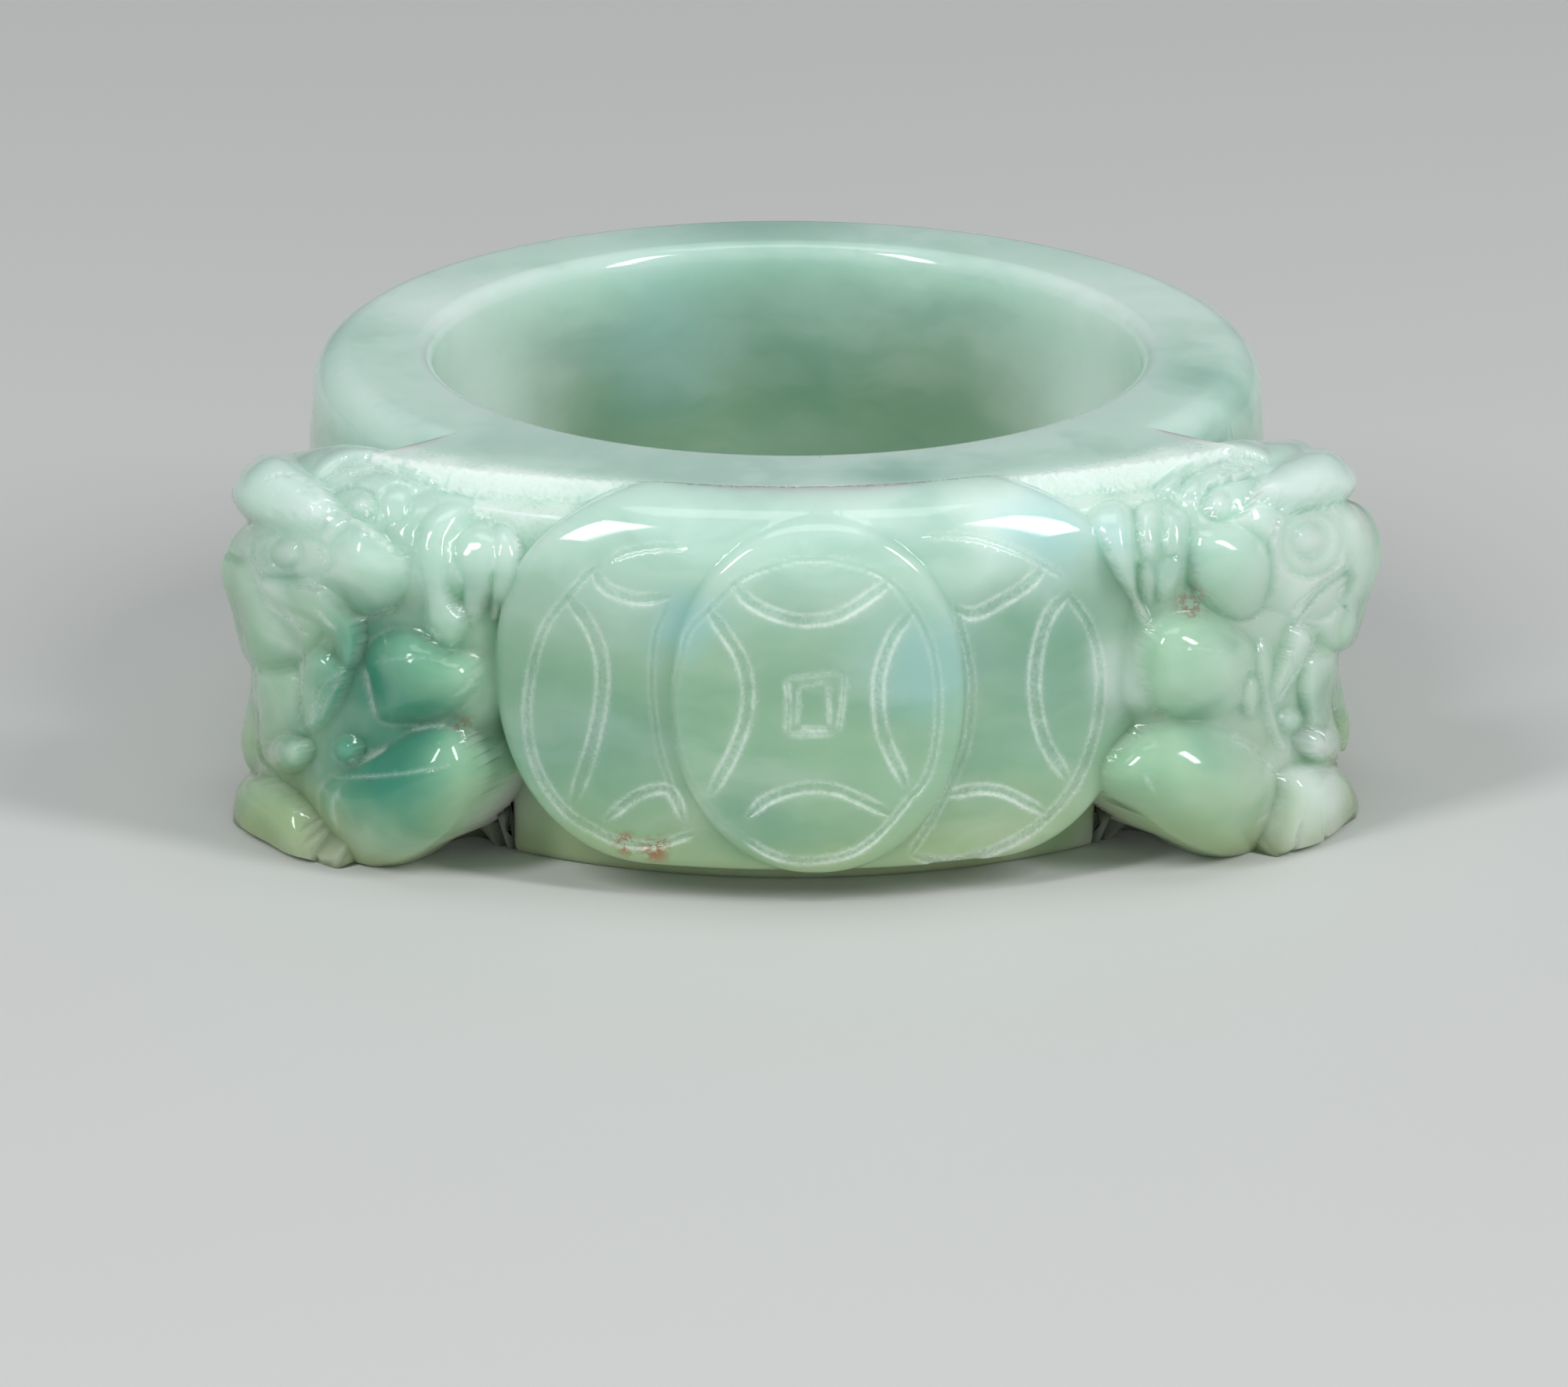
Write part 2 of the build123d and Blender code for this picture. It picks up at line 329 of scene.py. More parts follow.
# %% The right beast's outlines
forms = {}
forms["right"] = (
    ("crown", -0.8, 0.1, 0.5, ((700, 0), (900, -30), (1100, 0), (1260, 120), (1300, 350),
        (1200, 480), (1000, 440), (800, 380), (700, 200))),
    ("rear", -0.25, 0.3, 0.5, ((960, 860), (1030, 880), (1045, 980), (1075, 1080), (1085, 1210),
        (1065, 1340), (960, 1360), (900, 1200), (920, 1000))),
    ("hair", -0.3, 0.35, 0.6, ((270, 260), (320, 150), (430, 60), (580, 20), (720, 40), (900, 60),
        (860, 180), (600, 300), (400, 400), (300, 380))),
    ("hand", -0.1, 0.25, 0.7, ((20, 330), (90, 240), (230, 220), (340, 250), (440, 320), (460, 460),
        (430, 620), (330, 740), (270, 780), (180, 620), (80, 470))),
    ("inner_side", -0.25, 0.0, 0.8, ((300, 560), (60, 560), (-20, 900), (-20, 1300), (80, 1370),
        (170, 1430), (280, 1430), (330, 1000))),
    ("torso", -0.25, 0.3, 3.2, ((110, 620), (640, 560), (960, 640), (1060, 840), (1090, 1150),
        (1090, 1400), (1060, 1660), (700, 1680), (400, 1570), (230, 1450), (130, 1330), (90, 1000))),
    ("chest", -0.1, 0.95, 1.15, ((240, 800), (320, 725), (450, 705), (570, 725), (665, 790),
        (720, 880), (710, 990), (640, 1080), (520, 1125), (400, 1120), (300, 1070), (245, 950))),
    ("haunch", 0.1, 1.0, 1.5, ((70, 1410), (50, 1280), (170, 1175), (320, 1135), (480, 1125),
        (600, 1150), (700, 1210), (775, 1300), (795, 1400), (765, 1520), (715, 1610), (640, 1665),
        (500, 1655), (340, 1580), (215, 1485))),
    ("foot", 0.3, 0.6, 0.9, ((800, 1320), (880, 1290), (970, 1290), (1040, 1330), (1110, 1420),
        (1120, 1560), (1080, 1700), (900, 1820), (740, 1760), (705, 1640), (750, 1500), (785, 1400))),
    ("arm", 0.1, 0.35, 0.5, ((895, 860), (960, 840), (1005, 880), (1000, 960), (975, 1040),
        (985, 1110), (1005, 1180), (880, 1180), (890, 1100), (870, 1020), (875, 940))),
    ("arm_ball", 0.25, 0.5, 0.45, disc(948, 1205, 72)),
    ("fold_a", 0.0, 0.3, 0.25, ((640, 1010), (680, 930), (720, 1000), (705, 1090), (690, 1135),
        (650, 1080))),
    ("fold_b", 0.0, 0.3, 0.3, ((720, 800), (770, 900), (765, 1020), (800, 1150), (830, 1235),
        (780, 1235), (730, 1130), (710, 1010), (690, 900))),
    ("leaf", 0.1, 0.35, 0.35, ((840, 765), (880, 735), (930, 760), (935, 800), (900, 880),
        (850, 960), (790, 1050), (760, 1065), (752, 1000), (775, 920), (810, 840))),
    ("bead", 0.1, 0.4, 0.3, disc(830, 1122, 46)),
    ("face", -0.1, 0.5, 1.2, ((440, 360), (480, 300), (620, 210), (740, 150), (860, 150),
        (1000, 200), (1100, 290), (1150, 340), (1190, 450), (1180, 600), (1120, 760), (1030, 870),
        (960, 850), (880, 760), (800, 720), (720, 700), (640, 640), (560, 560), (470, 470))),
    ("jaw", 0.05, 0.45, 1.0, ((1015, 300), (1100, 270), (1200, 330), (1290, 500), (1240, 700),
        (1130, 830), (1030, 870), (1000, 800), (1025, 650), (1030, 500), (1020, 400))),
    ("chin", 0.05, 0.14, 0.5, ((1060, 540), (1045, 640), (985, 720), (900, 745), (845, 750),
        (840, 700), (900, 640), (980, 570))),
    ("cheek", 0.0, 0.55, 1.0, ((442, 380), (520, 350), (620, 360), (700, 390), (760, 460),
        (768, 560), (742, 650), (690, 710), (620, 730), (540, 690), (470, 620), (438, 520))),
    ("lips", 0.08, 0.15, 0.35, ((790, 430), (812, 350), (890, 305), (985, 325), (1035, 410),
        (1015, 515), (930, 575), (840, 560), (795, 500))),
    ("pearl", 0.06, 0.3, 0.5, disc(905, 432, 80)),
    ("snout", 0.2, 0.75, 0.75, ((630, 235), (740, 160), (860, 100), (960, 76), (1045, 110),
        (1105, 185), (1088, 248), (1010, 285), (900, 308), (800, 318), (740, 290), (690, 280))),
    ("brow", 0.0, 0.2, 0.3, ((285, 245), (330, 165), (420, 90), (560, 44), (690, 56), (758, 98),
        (745, 140), (690, 118), (600, 104), (520, 124), (445, 172), (400, 225), (340, 275))),
    ("temple", -0.05, 0.15, 0.2, ((392, 250), (412, 200), (460, 180), (492, 205), (480, 262),
        (430, 282))),
    ("socket", -0.15, 0.1, 0.2, ((478, 290), (520, 228), (600, 198), (722, 186), (692, 255),
        (650, 335), (560, 362), (498, 342))),
    ("eye", -0.1, 0.4, 0.4, disc(550, 290, 60)),
    ("finger_3", 0.1, 0.3, 0.3, ((335, 305), (380, 310), (428, 350), (436, 430), (420, 490),
        (370, 500), (332, 470), (330, 380))),
    ("claw_3", 0.0, 0.2, 0.2, ((330, 500), (420, 490), (402, 590), (340, 660), (312, 600))),
    ("finger_2", 0.12, 0.35, 0.3, ((237, 295), (290, 275), (335, 310), (340, 400), (325, 480),
        (300, 520), (270, 500), (245, 440), (235, 370))),
    ("claw_2", 0.03, 0.2, 0.2, ((262, 505), (300, 520), (318, 600), (285, 680), (252, 600))),
    ("finger_1", 0.15, 0.45, 0.45, ((10, 335), (60, 270), (150, 238), (212, 270), (232, 350),
        (236, 450), (240, 560), (248, 640), (292, 760), (262, 740), (210, 650), (160, 560),
        (100, 470), (40, 400))),
)
print("right forms:", len(forms["right"]))

# %% [markdown]
# The left beast bends its paw like a hook towards the coin's edge. It was read off an enlargement of
# its own, so it isn't the right one turned round.

# %% The left beast's outlines
forms["left"] = (
    ("crown", -0.8, 0.1, 0.5, ((20, 60), (150, 0), (350, -30), (520, 0), (560, 200), (460, 400),
        (250, 520), (20, 540), (-30, 300))),
    ("rear", -0.25, 0.3, 0.5, ((60, 640), (140, 620), (240, 900), (240, 1200), (240, 1340),
        (130, 1340), (80, 1230), (120, 1080), (80, 950), (58, 800))),
    ("hair", -0.3, 0.35, 0.6, ((300, 110), (380, 60), (520, 15), (640, 5), (780, 40), (900, 90),
        (990, 180), (960, 320), (800, 400), (600, 400), (420, 300))),
    ("hand", -0.1, 0.25, 0.7, ((700, 300), (800, 225), (960, 190), (1080, 200), (1180, 290),
        (1220, 420), (1210, 580), (1150, 730), (1040, 760), (900, 850), (820, 800), (740, 700),
        (690, 440))),
    ("inner_side", -0.25, 0.0, 0.8, ((1000, 560), (1250, 560), (1330, 900), (1310, 1230),
        (1190, 1310), (1100, 1380), (1000, 1400), (950, 1000))),
    ("torso", -0.25, 0.3, 3.2, ((120, 600), (560, 560), (900, 600), (1150, 640), (1180, 900),
        (1150, 1180), (1060, 1350), (980, 1470), (860, 1590), (700, 1670), (300, 1690), (80, 1600),
        (70, 1300), (100, 1050), (90, 800))),
    ("chest", -0.05, 0.95, 1.15, ((612, 840), (650, 770), (750, 735), (850, 760), (960, 820),
        (1060, 850), (1060, 960), (985, 1050), (860, 1100), (740, 1110), (665, 1095), (635, 1000),
        (608, 900))),
    ("haunch", 0.1, 0.95, 1.45, ((440, 1340), (520, 1290), (600, 1240), (700, 1190), (800, 1125),
        (900, 1098), (990, 1120), (1060, 1190), (1090, 1290), (1055, 1400), (975, 1520), (870, 1600),
        (740, 1660), (600, 1680), (535, 1640), (490, 1540), (440, 1440))),
    ("foot", 0.3, 0.6, 0.9, ((70, 1430), (120, 1330), (200, 1305), (300, 1350), (380, 1420),
        (440, 1520), (490, 1570), (540, 1640), (530, 1780), (300, 1840), (130, 1740), (70, 1560))),
    ("toe", 0.5, 0.3, 0.25, ((455, 1575), (500, 1580), (545, 1620), (540, 1760), (430, 1760),
        (410, 1620))),
    ("arm", 0.1, 0.3, 0.6, ((190, 880), (260, 865), (340, 880), (370, 950), (372, 1080), (395, 1150),
        (260, 1170), (215, 1180), (208, 1080), (192, 980))),
    ("arm_ball", 0.2, 0.5, 0.45, disc(325, 1215, 74)),
    ("leaf", 0.1, 0.35, 0.35, ((375, 840), (420, 808), (520, 868), (562, 900), (532, 1000),
        (490, 1070), (420, 1132), (375, 1112), (366, 1000))),
    ("bead", 0.1, 0.4, 0.3, disc(545, 1205, 56)),
    ("face", -0.1, 0.5, 1.2, ((60, 480), (90, 380), (200, 300), (330, 110), (480, 200), (620, 310),
        (740, 430), (800, 520), (720, 620), (640, 690), (560, 700), (480, 760), (400, 850),
        (300, 900), (190, 880), (100, 700))),
    ("jaw", 0.05, 0.35, 1.0, ((20, 510), (60, 440), (190, 470), (210, 560), (240, 640), (330, 720),
        (370, 800), (360, 860), (260, 885), (150, 860), (70, 700))),
    ("cheek", 0.05, 0.5, 1.0, ((420, 530), (500, 380), (600, 340), (700, 415), (745, 455),
        (790, 440), (805, 520), (760, 600), (690, 672), (600, 690), (540, 640), (470, 590),
        (400, 560))),
    ("jaw_fold", 0.2, 0.3, 0.3, ((200, 548), (330, 552), (440, 572), (510, 640), (572, 700),
        (592, 790), (572, 880), (530, 890), (500, 800), (450, 740), (380, 700), (300, 672),
        (230, 622))),
    ("lips", 0.12, 0.15, 0.3, ((168, 430), (200, 378), (300, 362), (420, 380), (482, 440),
        (498, 500), (440, 542), (330, 552), (220, 546), (180, 500))),
    ("pearl", 0.1, 0.28, 0.42, disc(315, 452, 66)),
    ("snout", 0.3, 0.75, 0.8, ((85, 232), (105, 145), (180, 85), (270, 60), (345, 100), (440, 180),
        (500, 258), (475, 330), (430, 375), (330, 368), (240, 348), (150, 310))),
    ("brow", 0.0, 0.2, 0.3, ((408, 140), (440, 88), (520, 42), (620, 28), (740, 56), (850, 106),
        (935, 172), (905, 205), (820, 172), (740, 132), (640, 92), (540, 102), (480, 142), (440, 172))),
    ("temple", -0.05, 0.15, 0.25, ((700, 200), (780, 190), (800, 250), (770, 330), (700, 340),
        (670, 270))),
    ("socket", -0.15, 0.1, 0.2, ((478, 232), (560, 198), (640, 205), (668, 270), (645, 340),
        (560, 305))),
    ("eye", -0.1, 0.4, 0.35, disc(600, 262, 50)),
    ("finger_3", 0.0, 0.1, 0.35, ((1100, 345), (1150, 320), (1200, 400), (1200, 520), (1160, 640),
        (1115, 705), (1098, 640), (1110, 520))),
    ("finger_2", 0.0, 0.14, 0.4, ((958, 405), (1000, 345), (1060, 325), (1112, 380), (1102, 520),
        (1080, 640), (1040, 705), (1000, 685), (990, 560), (950, 480))),
    ("hook", 0.1, 0.28, 0.4, ((1055, 232), (960, 222), (880, 268), (820, 338), (800, 430),
        (825, 540), (850, 630), (850, 710), (890, 790), (945, 820), (985, 760), (1005, 690),
        (960, 650), (935, 600), (945, 520), (940, 450), (950, 390), (1000, 330), (1065, 280))),
)
print("left forms:", len(forms["left"]))

# %% [markdown]
# ### The forms that the photograph hides
# The backs of the beasts can't be seen, so two plain swellings stand there, drawn over turn and
# height instead of over the photograph.

# %% Outlines at the back
side_forms = (
    ("back_up", 0.0, 0.5, 1.0, ((63, 5.6), (66, 8.6), (69, 10.6), (76, 10.4), (79, 8.5), (78, 6.0),
        (72, 4.8))),
    ("back_low", 0.0, 0.5, 0.9, ((62, 2.4), (64, 4.3), (70, 5.0), (77, 4.2), (79, 2.4), (76, 0.8),
        (68, 0.5))),
)
print("forms at the back:", len(side_forms))

# %% [markdown]
# ### The cut lines
# A line has half its width, its depth, how matt the tool left it, and the points that it runs
# through. A negative depth is a raised ridge. The lines part the folds of the faces, the toes and
# the strands of the manes.

# %% The right beast's lines
lines = {}
lines["right"] = (
    ("upper_lid", 0.07, 0.12, 0.6, ((488, 305), (520, 235), (600, 203), (715, 188))),
    ("lower_lid", 0.08, 0.12, 0.6, ((500, 338), (560, 362), (640, 352), (692, 270), (715, 190))),
    ("under_brow", 0.08, 0.14, 0.7, ((400, 235), (445, 182), (520, 132), (600, 112), (700, 125),
        (745, 140))),
    ("hair_1", 0.05, 0.1, 0.8, ((470, 175), (550, 152), (640, 170))),
    ("hair_2", 0.05, 0.1, 0.8, ((520, 150), (600, 132), (690, 150))),
    ("hair_3", 0.05, 0.1, 0.8, ((560, 185), (620, 168), (700, 160))),
    ("nose_side", 0.12, 0.18, 0.8, ((790, 225), (786, 300), (760, 400), (745, 485))),
    ("cheek_drop", 0.2, 0.1, 0.9, ((705, 445), (722, 488))),
    ("nostril_1", 0.09, 0.14, 0.3, ((925, 245), (950, 225))),
    ("nostril_2", 0.09, 0.14, 0.3, ((990, 245), (1015, 225))),
    ("mouth_line", 0.08, 0.18, 0.6, ((785, 338), (900, 314), (1000, 292), (1090, 262))),
    ("beard_1", 0.07, 0.14, 0.7, ((1062, 545), (980, 600), (910, 665), (850, 745))),
    ("beard_2", 0.06, 0.1, 0.6, ((1005, 555), (940, 600), (880, 650), (835, 700))),
    ("jaw_facet", 0.05, 0.07, 0.4, ((1055, 590), (1000, 640), (1050, 705))),
    ("leaf_1", 0.07, 0.14, 0.7, ((938, 790), (890, 880), (830, 965), (778, 1055))),
    ("leaf_2", 0.06, 0.1, 0.5, ((812, 800), (835, 880), (800, 985))),
    ("leaf_top_1", 0.07, 0.09, 0.9, ((838, 757), (930, 768))),
    ("leaf_top_2", 0.06, 0.08, 0.9, ((862, 733), (925, 736))),
    ("chest_line", 0.05, 0.03, 0.2, ((320, 852), (450, 845), (570, 862))),
    ("haunch_top", 0.08, 0.13, 0.6, ((590, 1172), (680, 1220), (742, 1290), (788, 1345))),
    ("haunch_top_2", 0.06, 0.08, 0.4, ((600, 1200), (660, 1232), (710, 1275))),
    ("haunch_end", 0.1, 0.08, 0.3, ((757, 1400), (755, 1460), (695, 1518))),
    ("haunch_mark", 0.12, 0.06, 0.5, ((268, 1325), (310, 1400))),
    ("toe_1", 0.09, 0.16, 0.5, ((880, 1500), (855, 1580), (840, 1690))),
    ("toe_2", 0.08, 0.12, 0.5, ((950, 1540), (975, 1600), (985, 1680))),
    ("notch", 0.3, 1.8, 0.3, ((692, 1640), (690, 1700), (688, 1760))),
    ("arm_edge", 0.08, 0.14, 0.3, ((1008, 880), (985, 1000), (990, 1090), (1022, 1180), (1015, 1270),
        (960, 1300))),
    ("finger_edge", 0.08, 0.15, 0.9, ((110, 430), (190, 600), (240, 700), (290, 765))),
    ("knuckle_1", 0.07, 0.08, 0.6, ((100, 400), (140, 440))),
    ("knuckle_2", 0.06, 0.08, 0.6, ((255, 440), (320, 450))),
    ("knuckle_3", 0.06, 0.08, 0.6, ((345, 480), (420, 478))),
    ("cheek_groove", 0.12, 0.16, 0.5, ((438, 480), (455, 612), (530, 690), (640, 738), (715, 692),
        (762, 600))),
)
print("right lines:", len(lines["right"]))

# %% [markdown]
# The left beast's lines follow its own forms. From its snout a raised ridge runs down to the cheek.

# %% The left beast's lines
lines["left"] = (
    ("nostril_1", 0.11, 0.16, 0.5, ((268, 222), (292, 210))),
    ("nostril_2", 0.11, 0.16, 0.5, ((358, 222), (382, 212))),
    ("nose_wrinkle_1", 0.06, 0.07, 0.5, ((205, 185), (300, 150), (400, 180))),
    ("nose_wrinkle_2", 0.06, 0.07, 0.5, ((210, 280), (300, 300), (420, 290))),
    ("snout_ridge", 0.14, -0.18, 0.0, ((380, 140), (470, 228), (560, 308), (640, 370), (742, 448))),
    ("upper_lid", 0.07, 0.12, 0.6, ((478, 238), (560, 198), (640, 212), (668, 270))),
    ("lower_lid", 0.07, 0.12, 0.6, ((520, 270), (600, 325), (660, 290))),
    ("under_brow", 0.08, 0.14, 0.7, ((440, 180), (500, 142), (640, 100), (740, 140), (860, 190))),
    ("hair_1", 0.05, 0.1, 0.8, ((540, 160), (640, 140), (720, 170))),
    ("hair_2", 0.05, 0.1, 0.8, ((600, 130), (700, 130), (780, 180))),
    ("face_edge", 0.14, 0.16, 0.9, ((620, 350), (680, 400), (740, 448), (780, 440))),
    ("mouth_corner", 0.09, 0.14, 0.6, ((195, 405), (192, 470), (228, 548))),
    ("lip_inner", 0.07, 0.1, 0.6, ((245, 400), (228, 455), (250, 525))),
    ("lip_right", 0.07, 0.1, 0.8, ((430, 420), (465, 480), (480, 495))),
    ("jaw_line_1", 0.08, 0.13, 0.6, ((195, 560), (240, 640), (330, 702), (400, 760))),
    ("jaw_line_2", 0.07, 0.13, 0.7, ((340, 575), (440, 592), (500, 650), (560, 705))),
    ("jaw_line_3", 0.06, 0.1, 0.8, ((430, 662), (470, 712), (505, 742))),
    ("leaf_1", 0.07, 0.13, 0.8, ((525, 902), (440, 970), (412, 1105))),
    ("leaf_2", 0.06, 0.1, 0.7, ((528, 925), (468, 1010), (440, 1092))),
    ("leaf_3", 0.07, 0.12, 0.7, ((382, 832), (370, 950), (374, 1085))),
    ("chest_line", 0.05, 0.03, 0.2, ((650, 870), (800, 850), (930, 856))),
    ("chest_end", 0.12, 0.1, 0.3, ((1040, 872), (1012, 950), (950, 1002))),
    ("chest_side", 0.06, 0.08, 0.7, ((618, 890), (640, 1000), (662, 1085))),
    ("haunch_line", 0.05, 0.07, 0.5, ((500, 1312), (700, 1302), (850, 1280), (945, 1262))),
    ("haunch_end", 0.12, 0.08, 0.3, ((522, 1345), (495, 1420), (512, 1500))),
    ("haunch_top", 0.08, 0.14, 0.8, ((602, 1168), (560, 1262), (620, 1242), (705, 1192))),
    ("haunch_rim", 0.09, 0.1, 0.9, ((800, 1132), (880, 1112), (985, 1122), (1060, 1190))),
    ("arm_edge", 0.08, 0.14, 0.4, ((198, 900), (212, 1080), (218, 1220), (300, 1325))),
    ("foot_line", 0.07, 0.12, 0.7, ((205, 1300), (300, 1372), (400, 1480), (462, 1565))),
    ("notch", 0.16, 1.6, 0.3, ((552, 1600), (548, 1680), (546, 1760))),
    ("cheek_groove", 0.12, 0.15, 0.8, ((590, 692), (690, 680), (765, 635))),
    ("hook_ball", 0.2, 0.1, 0.9, ((850, 720), (900, 780))),
)
print("left lines:", len(lines["left"]))

# %% [markdown]
# The coins' lines are channels with a flat floor: the rim's inner edge, four arcs round a field with
# hollow sides, and a square hole that the middle coin alone has.

# %% The coins' lines
lines["coins"] = (
    ("middle_rim_top", 0.12, 0.07, 0.5, ((540, 520), (560, 464), (600, 424), (680, 344), (768, 304),
        (864, 285), (960, 296), (1064, 336), (1136, 424), (1176, 510), (1194, 620), (1190, 740),
        (1165, 840), (1120, 900))),
    ("middle_rim_low", 0.12, 0.08, 0.9, ((1130, 885), (1040, 990), (960, 1040), (850, 1056),
        (770, 1040), (700, 1000))),
    ("middle_rim_left", 0.1, 0.03, 0.15, ((544, 512), (520, 620), (525, 740), (560, 850), (620, 940),
        (700, 1000))),
    ("middle_petal_top", 0.19, 0.1, 0.95, ((670, 350), (720, 400), (800, 435), (870, 443), (950, 425),
        (1050, 360), (1072, 345))),
    ("middle_petal_left", 0.19, 0.1, 0.8, ((606, 415), (650, 475), (692, 545), (708, 620), (700, 700),
        (665, 790), (612, 885))),
    ("middle_petal_right", 0.19, 0.1, 0.8, ((1128, 420), (1080, 480), (1048, 560), (1040, 640),
        (1055, 740), (1112, 862))),
    ("middle_petal_low", 0.17, 0.1, 0.9, ((708, 942), (760, 898), (850, 870), (930, 874), (1000, 902),
        (1072, 938))),
    ("hole_left", 0.09, 0.05, 1.0, ((805, 590), (812, 660), (808, 735))),
    ("hole_top", 0.07, 0.04, 0.6, ((805, 590), (955, 575))),
    ("hole_right", 0.08, 0.05, 0.9, ((955, 575), (950, 650), (938, 730))),
    ("hole_foot", 0.08, 0.05, 1.0, ((808, 733), (930, 732))),
    ("hole_inner_left", 0.06, 0.04, 1.0, ((838, 612), (834, 715))),
    ("hole_inner_top", 0.05, 0.04, 0.9, ((838, 612), (912, 598))),
    ("hole_inner_right", 0.06, 0.04, 1.0, ((912, 598), (918, 718))),
    ("hole_inner_foot", 0.06, 0.04, 1.0, ((834, 715), (918, 720))),
    ("left_rim", 0.13, 0.09, 0.7, ((330, 298), (300, 322), (250, 380), (190, 460), (155, 580),
        (145, 700), (170, 820), (240, 925), (330, 985), (400, 1012), (480, 1012), (575, 985))),
    ("left_rim_top", 0.16, 0.06, 0.4, ((350, 290), (400, 268), (470, 255), (560, 255))),
    ("left_petal_top", 0.19, 0.1, 0.8, ((312, 315), (350, 362), (430, 388), (510, 378))),
    ("left_petal", 0.2, 0.1, 0.6, ((246, 380), (300, 450), (332, 530), (336, 620), (318, 730),
        (292, 820), (262, 905))),
    ("left_petal_low", 0.16, 0.1, 0.9, ((345, 950), (420, 892), (480, 872), (516, 884), (545, 950))),
    ("left_of_middle", 0.1, 0.06, 0.4, ((505, 400), (472, 480), (462, 590), (470, 700), (490, 800),
        (525, 900))),
    ("right_rim_top", 0.12, 0.07, 0.6, ((1150, 230), (1220, 226), (1300, 234), (1400, 268),
        (1460, 300), (1515, 335))),
    ("right_petal_top", 0.2, 0.13, 0.95, ((1235, 412), (1285, 425), (1345, 398), (1420, 350),
        (1466, 302))),
    ("right_rim", 0.14, 0.1, 0.7, ((1528, 378), (1585, 470), (1608, 600), (1590, 740), (1535, 870),
        (1440, 970), (1330, 1030), (1220, 1058), (1130, 1045))),
    ("right_petal", 0.19, 0.1, 0.8, ((1525, 372), (1475, 430), (1445, 530), (1440, 640), (1465, 750),
        (1525, 848))),
    ("right_petal_low", 0.16, 0.13, 1.0, ((1212, 890), (1290, 872), (1360, 880), (1420, 908),
        (1468, 935))),
    ("right_of_middle", 0.12, 0.07, 0.5, ((1235, 400), (1262, 500), (1280, 600), (1270, 740),
        (1240, 830), (1210, 892), (1160, 980), (1120, 1040))),
)
print("coins lines:", len(lines["coins"]))


# %% [markdown]
# ### Curves through the points
# A handful of points becomes a smooth outline by a cubic between each two of them. Then each place
# has to know how far it lies from that curve and on which side of it.

# %% Smooth curves and distances to them
def smooth_curve(points, closed, steps=6):
    """Curve through the points: between two of them the cubic whose slope at each one is half the
    way from the point before it to the point after it."""
    points = np.asarray(points, dtype=float)
    if closed:
        before, here, after, later = (np.roll(points, shift, axis=0) for shift in (1, 0, -1, -2))
    else:
        longer = np.concatenate([[2 * points[0] - points[1]], points, [2 * points[-1] - points[-2]]])
        before, here, after, later = longer[:-3], longer[1:-2], longer[2:-1], longer[3:]
    before, here, after, later = (part[:, None] for part in (before, here, after, later))
    t = (np.arange(steps) / steps)[None, :, None]
    curve = 0.5 * (2 * here + (after - before) * t
                   + (2 * before - 5 * here + 4 * after - later) * t ** 2
                   + (3 * here - before - 3 * after + later) * t ** 3)
    curve = curve.reshape(-1, 2)
    return curve if closed else np.concatenate([curve, points[-1:]])


def curve_distance(cells, start, end):
    """Distance of each cell to the nearest straight bit of a curve, and how far along it is."""
    step = end - start
    length = np.hypot(step[:, 0], step[:, 1]) + 1e-9
    from_start = cells[:, None] - start
    share = np.clip((from_start * step).sum(axis=-1) / length ** 2, 0, 1)
    gap = from_start - share[..., None] * step
    gap = np.hypot(gap[..., 0], gap[..., 1])
    nearest = gap.argmin(axis=1)
    row = np.arange(len(cells))
    run = np.concatenate([[0], np.cumsum(length)])
    return gap[row, nearest], run[nearest] + share[row, nearest] * length[nearest], run[-1]


def depth_inside(cells, outline):
    """How far each cell lies inside a closed curve, negative outside. A cell is inside if a line
    from it to the right crosses the curve an odd number of times."""
    start, end = outline, np.roll(outline, -1, axis=0)
    distance, _along, _length = curve_distance(cells, start, end)
    x, y = cells[:, :1], cells[:, 1:]
    spans = (start[:, 1] <= y) != (end[:, 1] <= y)
    rise = np.where(end[:, 1] == start[:, 1], 1, end[:, 1] - start[:, 1])
    crossing = start[:, 0] + (y - start[:, 1]) / rise * (end[:, 0] - start[:, 0])
    inside = (spans & (x < crossing)).sum(axis=1) % 2 == 1
    return np.where(inside, distance, -distance)


print("a disc's outline has", len(smooth_curve(disc(0, 0, 1), closed=True)), "points once it is smooth")

# %% [markdown]
# ### From drawing to relief
# The drawing becomes a height map, a grid of cells 0.03 mm wide. Each form is laid over the earlier
# ones as a pillow, the map is softened a little, as polishing does, and the lines are cut into it.
# Outside of all forms the map is sunk deep, so that the mass ends there. A form's edge falls over a
# short way, which grows with how softly the form swells, and the creases between forms stay a
# little matt and white, which is partly the tool's frost and partly painted light shining out of
# the creases.

# %% Helpers for the relief maps
CELL = 0.03
SUNK = -2.4
EDGE = 0.03
EDGE_OF_SOFT = 0.14
ROUNDED = 0.15
MARGIN = 0.8
CREASE_FROST_AND_PAINTED_LIGHT = 0.25
CREASE_EDGES = 2.5


def near_box(points, corner, shape, margin):
    """Slices of the map's rows and columns that hold the points and a margin round them."""
    low = np.floor((points.min(axis=0) - margin - corner) / CELL).astype(int)
    high = np.ceil((points.max(axis=0) + margin - corner) / CELL).astype(int) + 1
    rows = slice(max(low[1], 0), min(high[1], shape[0]))
    columns = slice(max(low[0], 0), min(high[0], shape[1]))
    return rows, columns


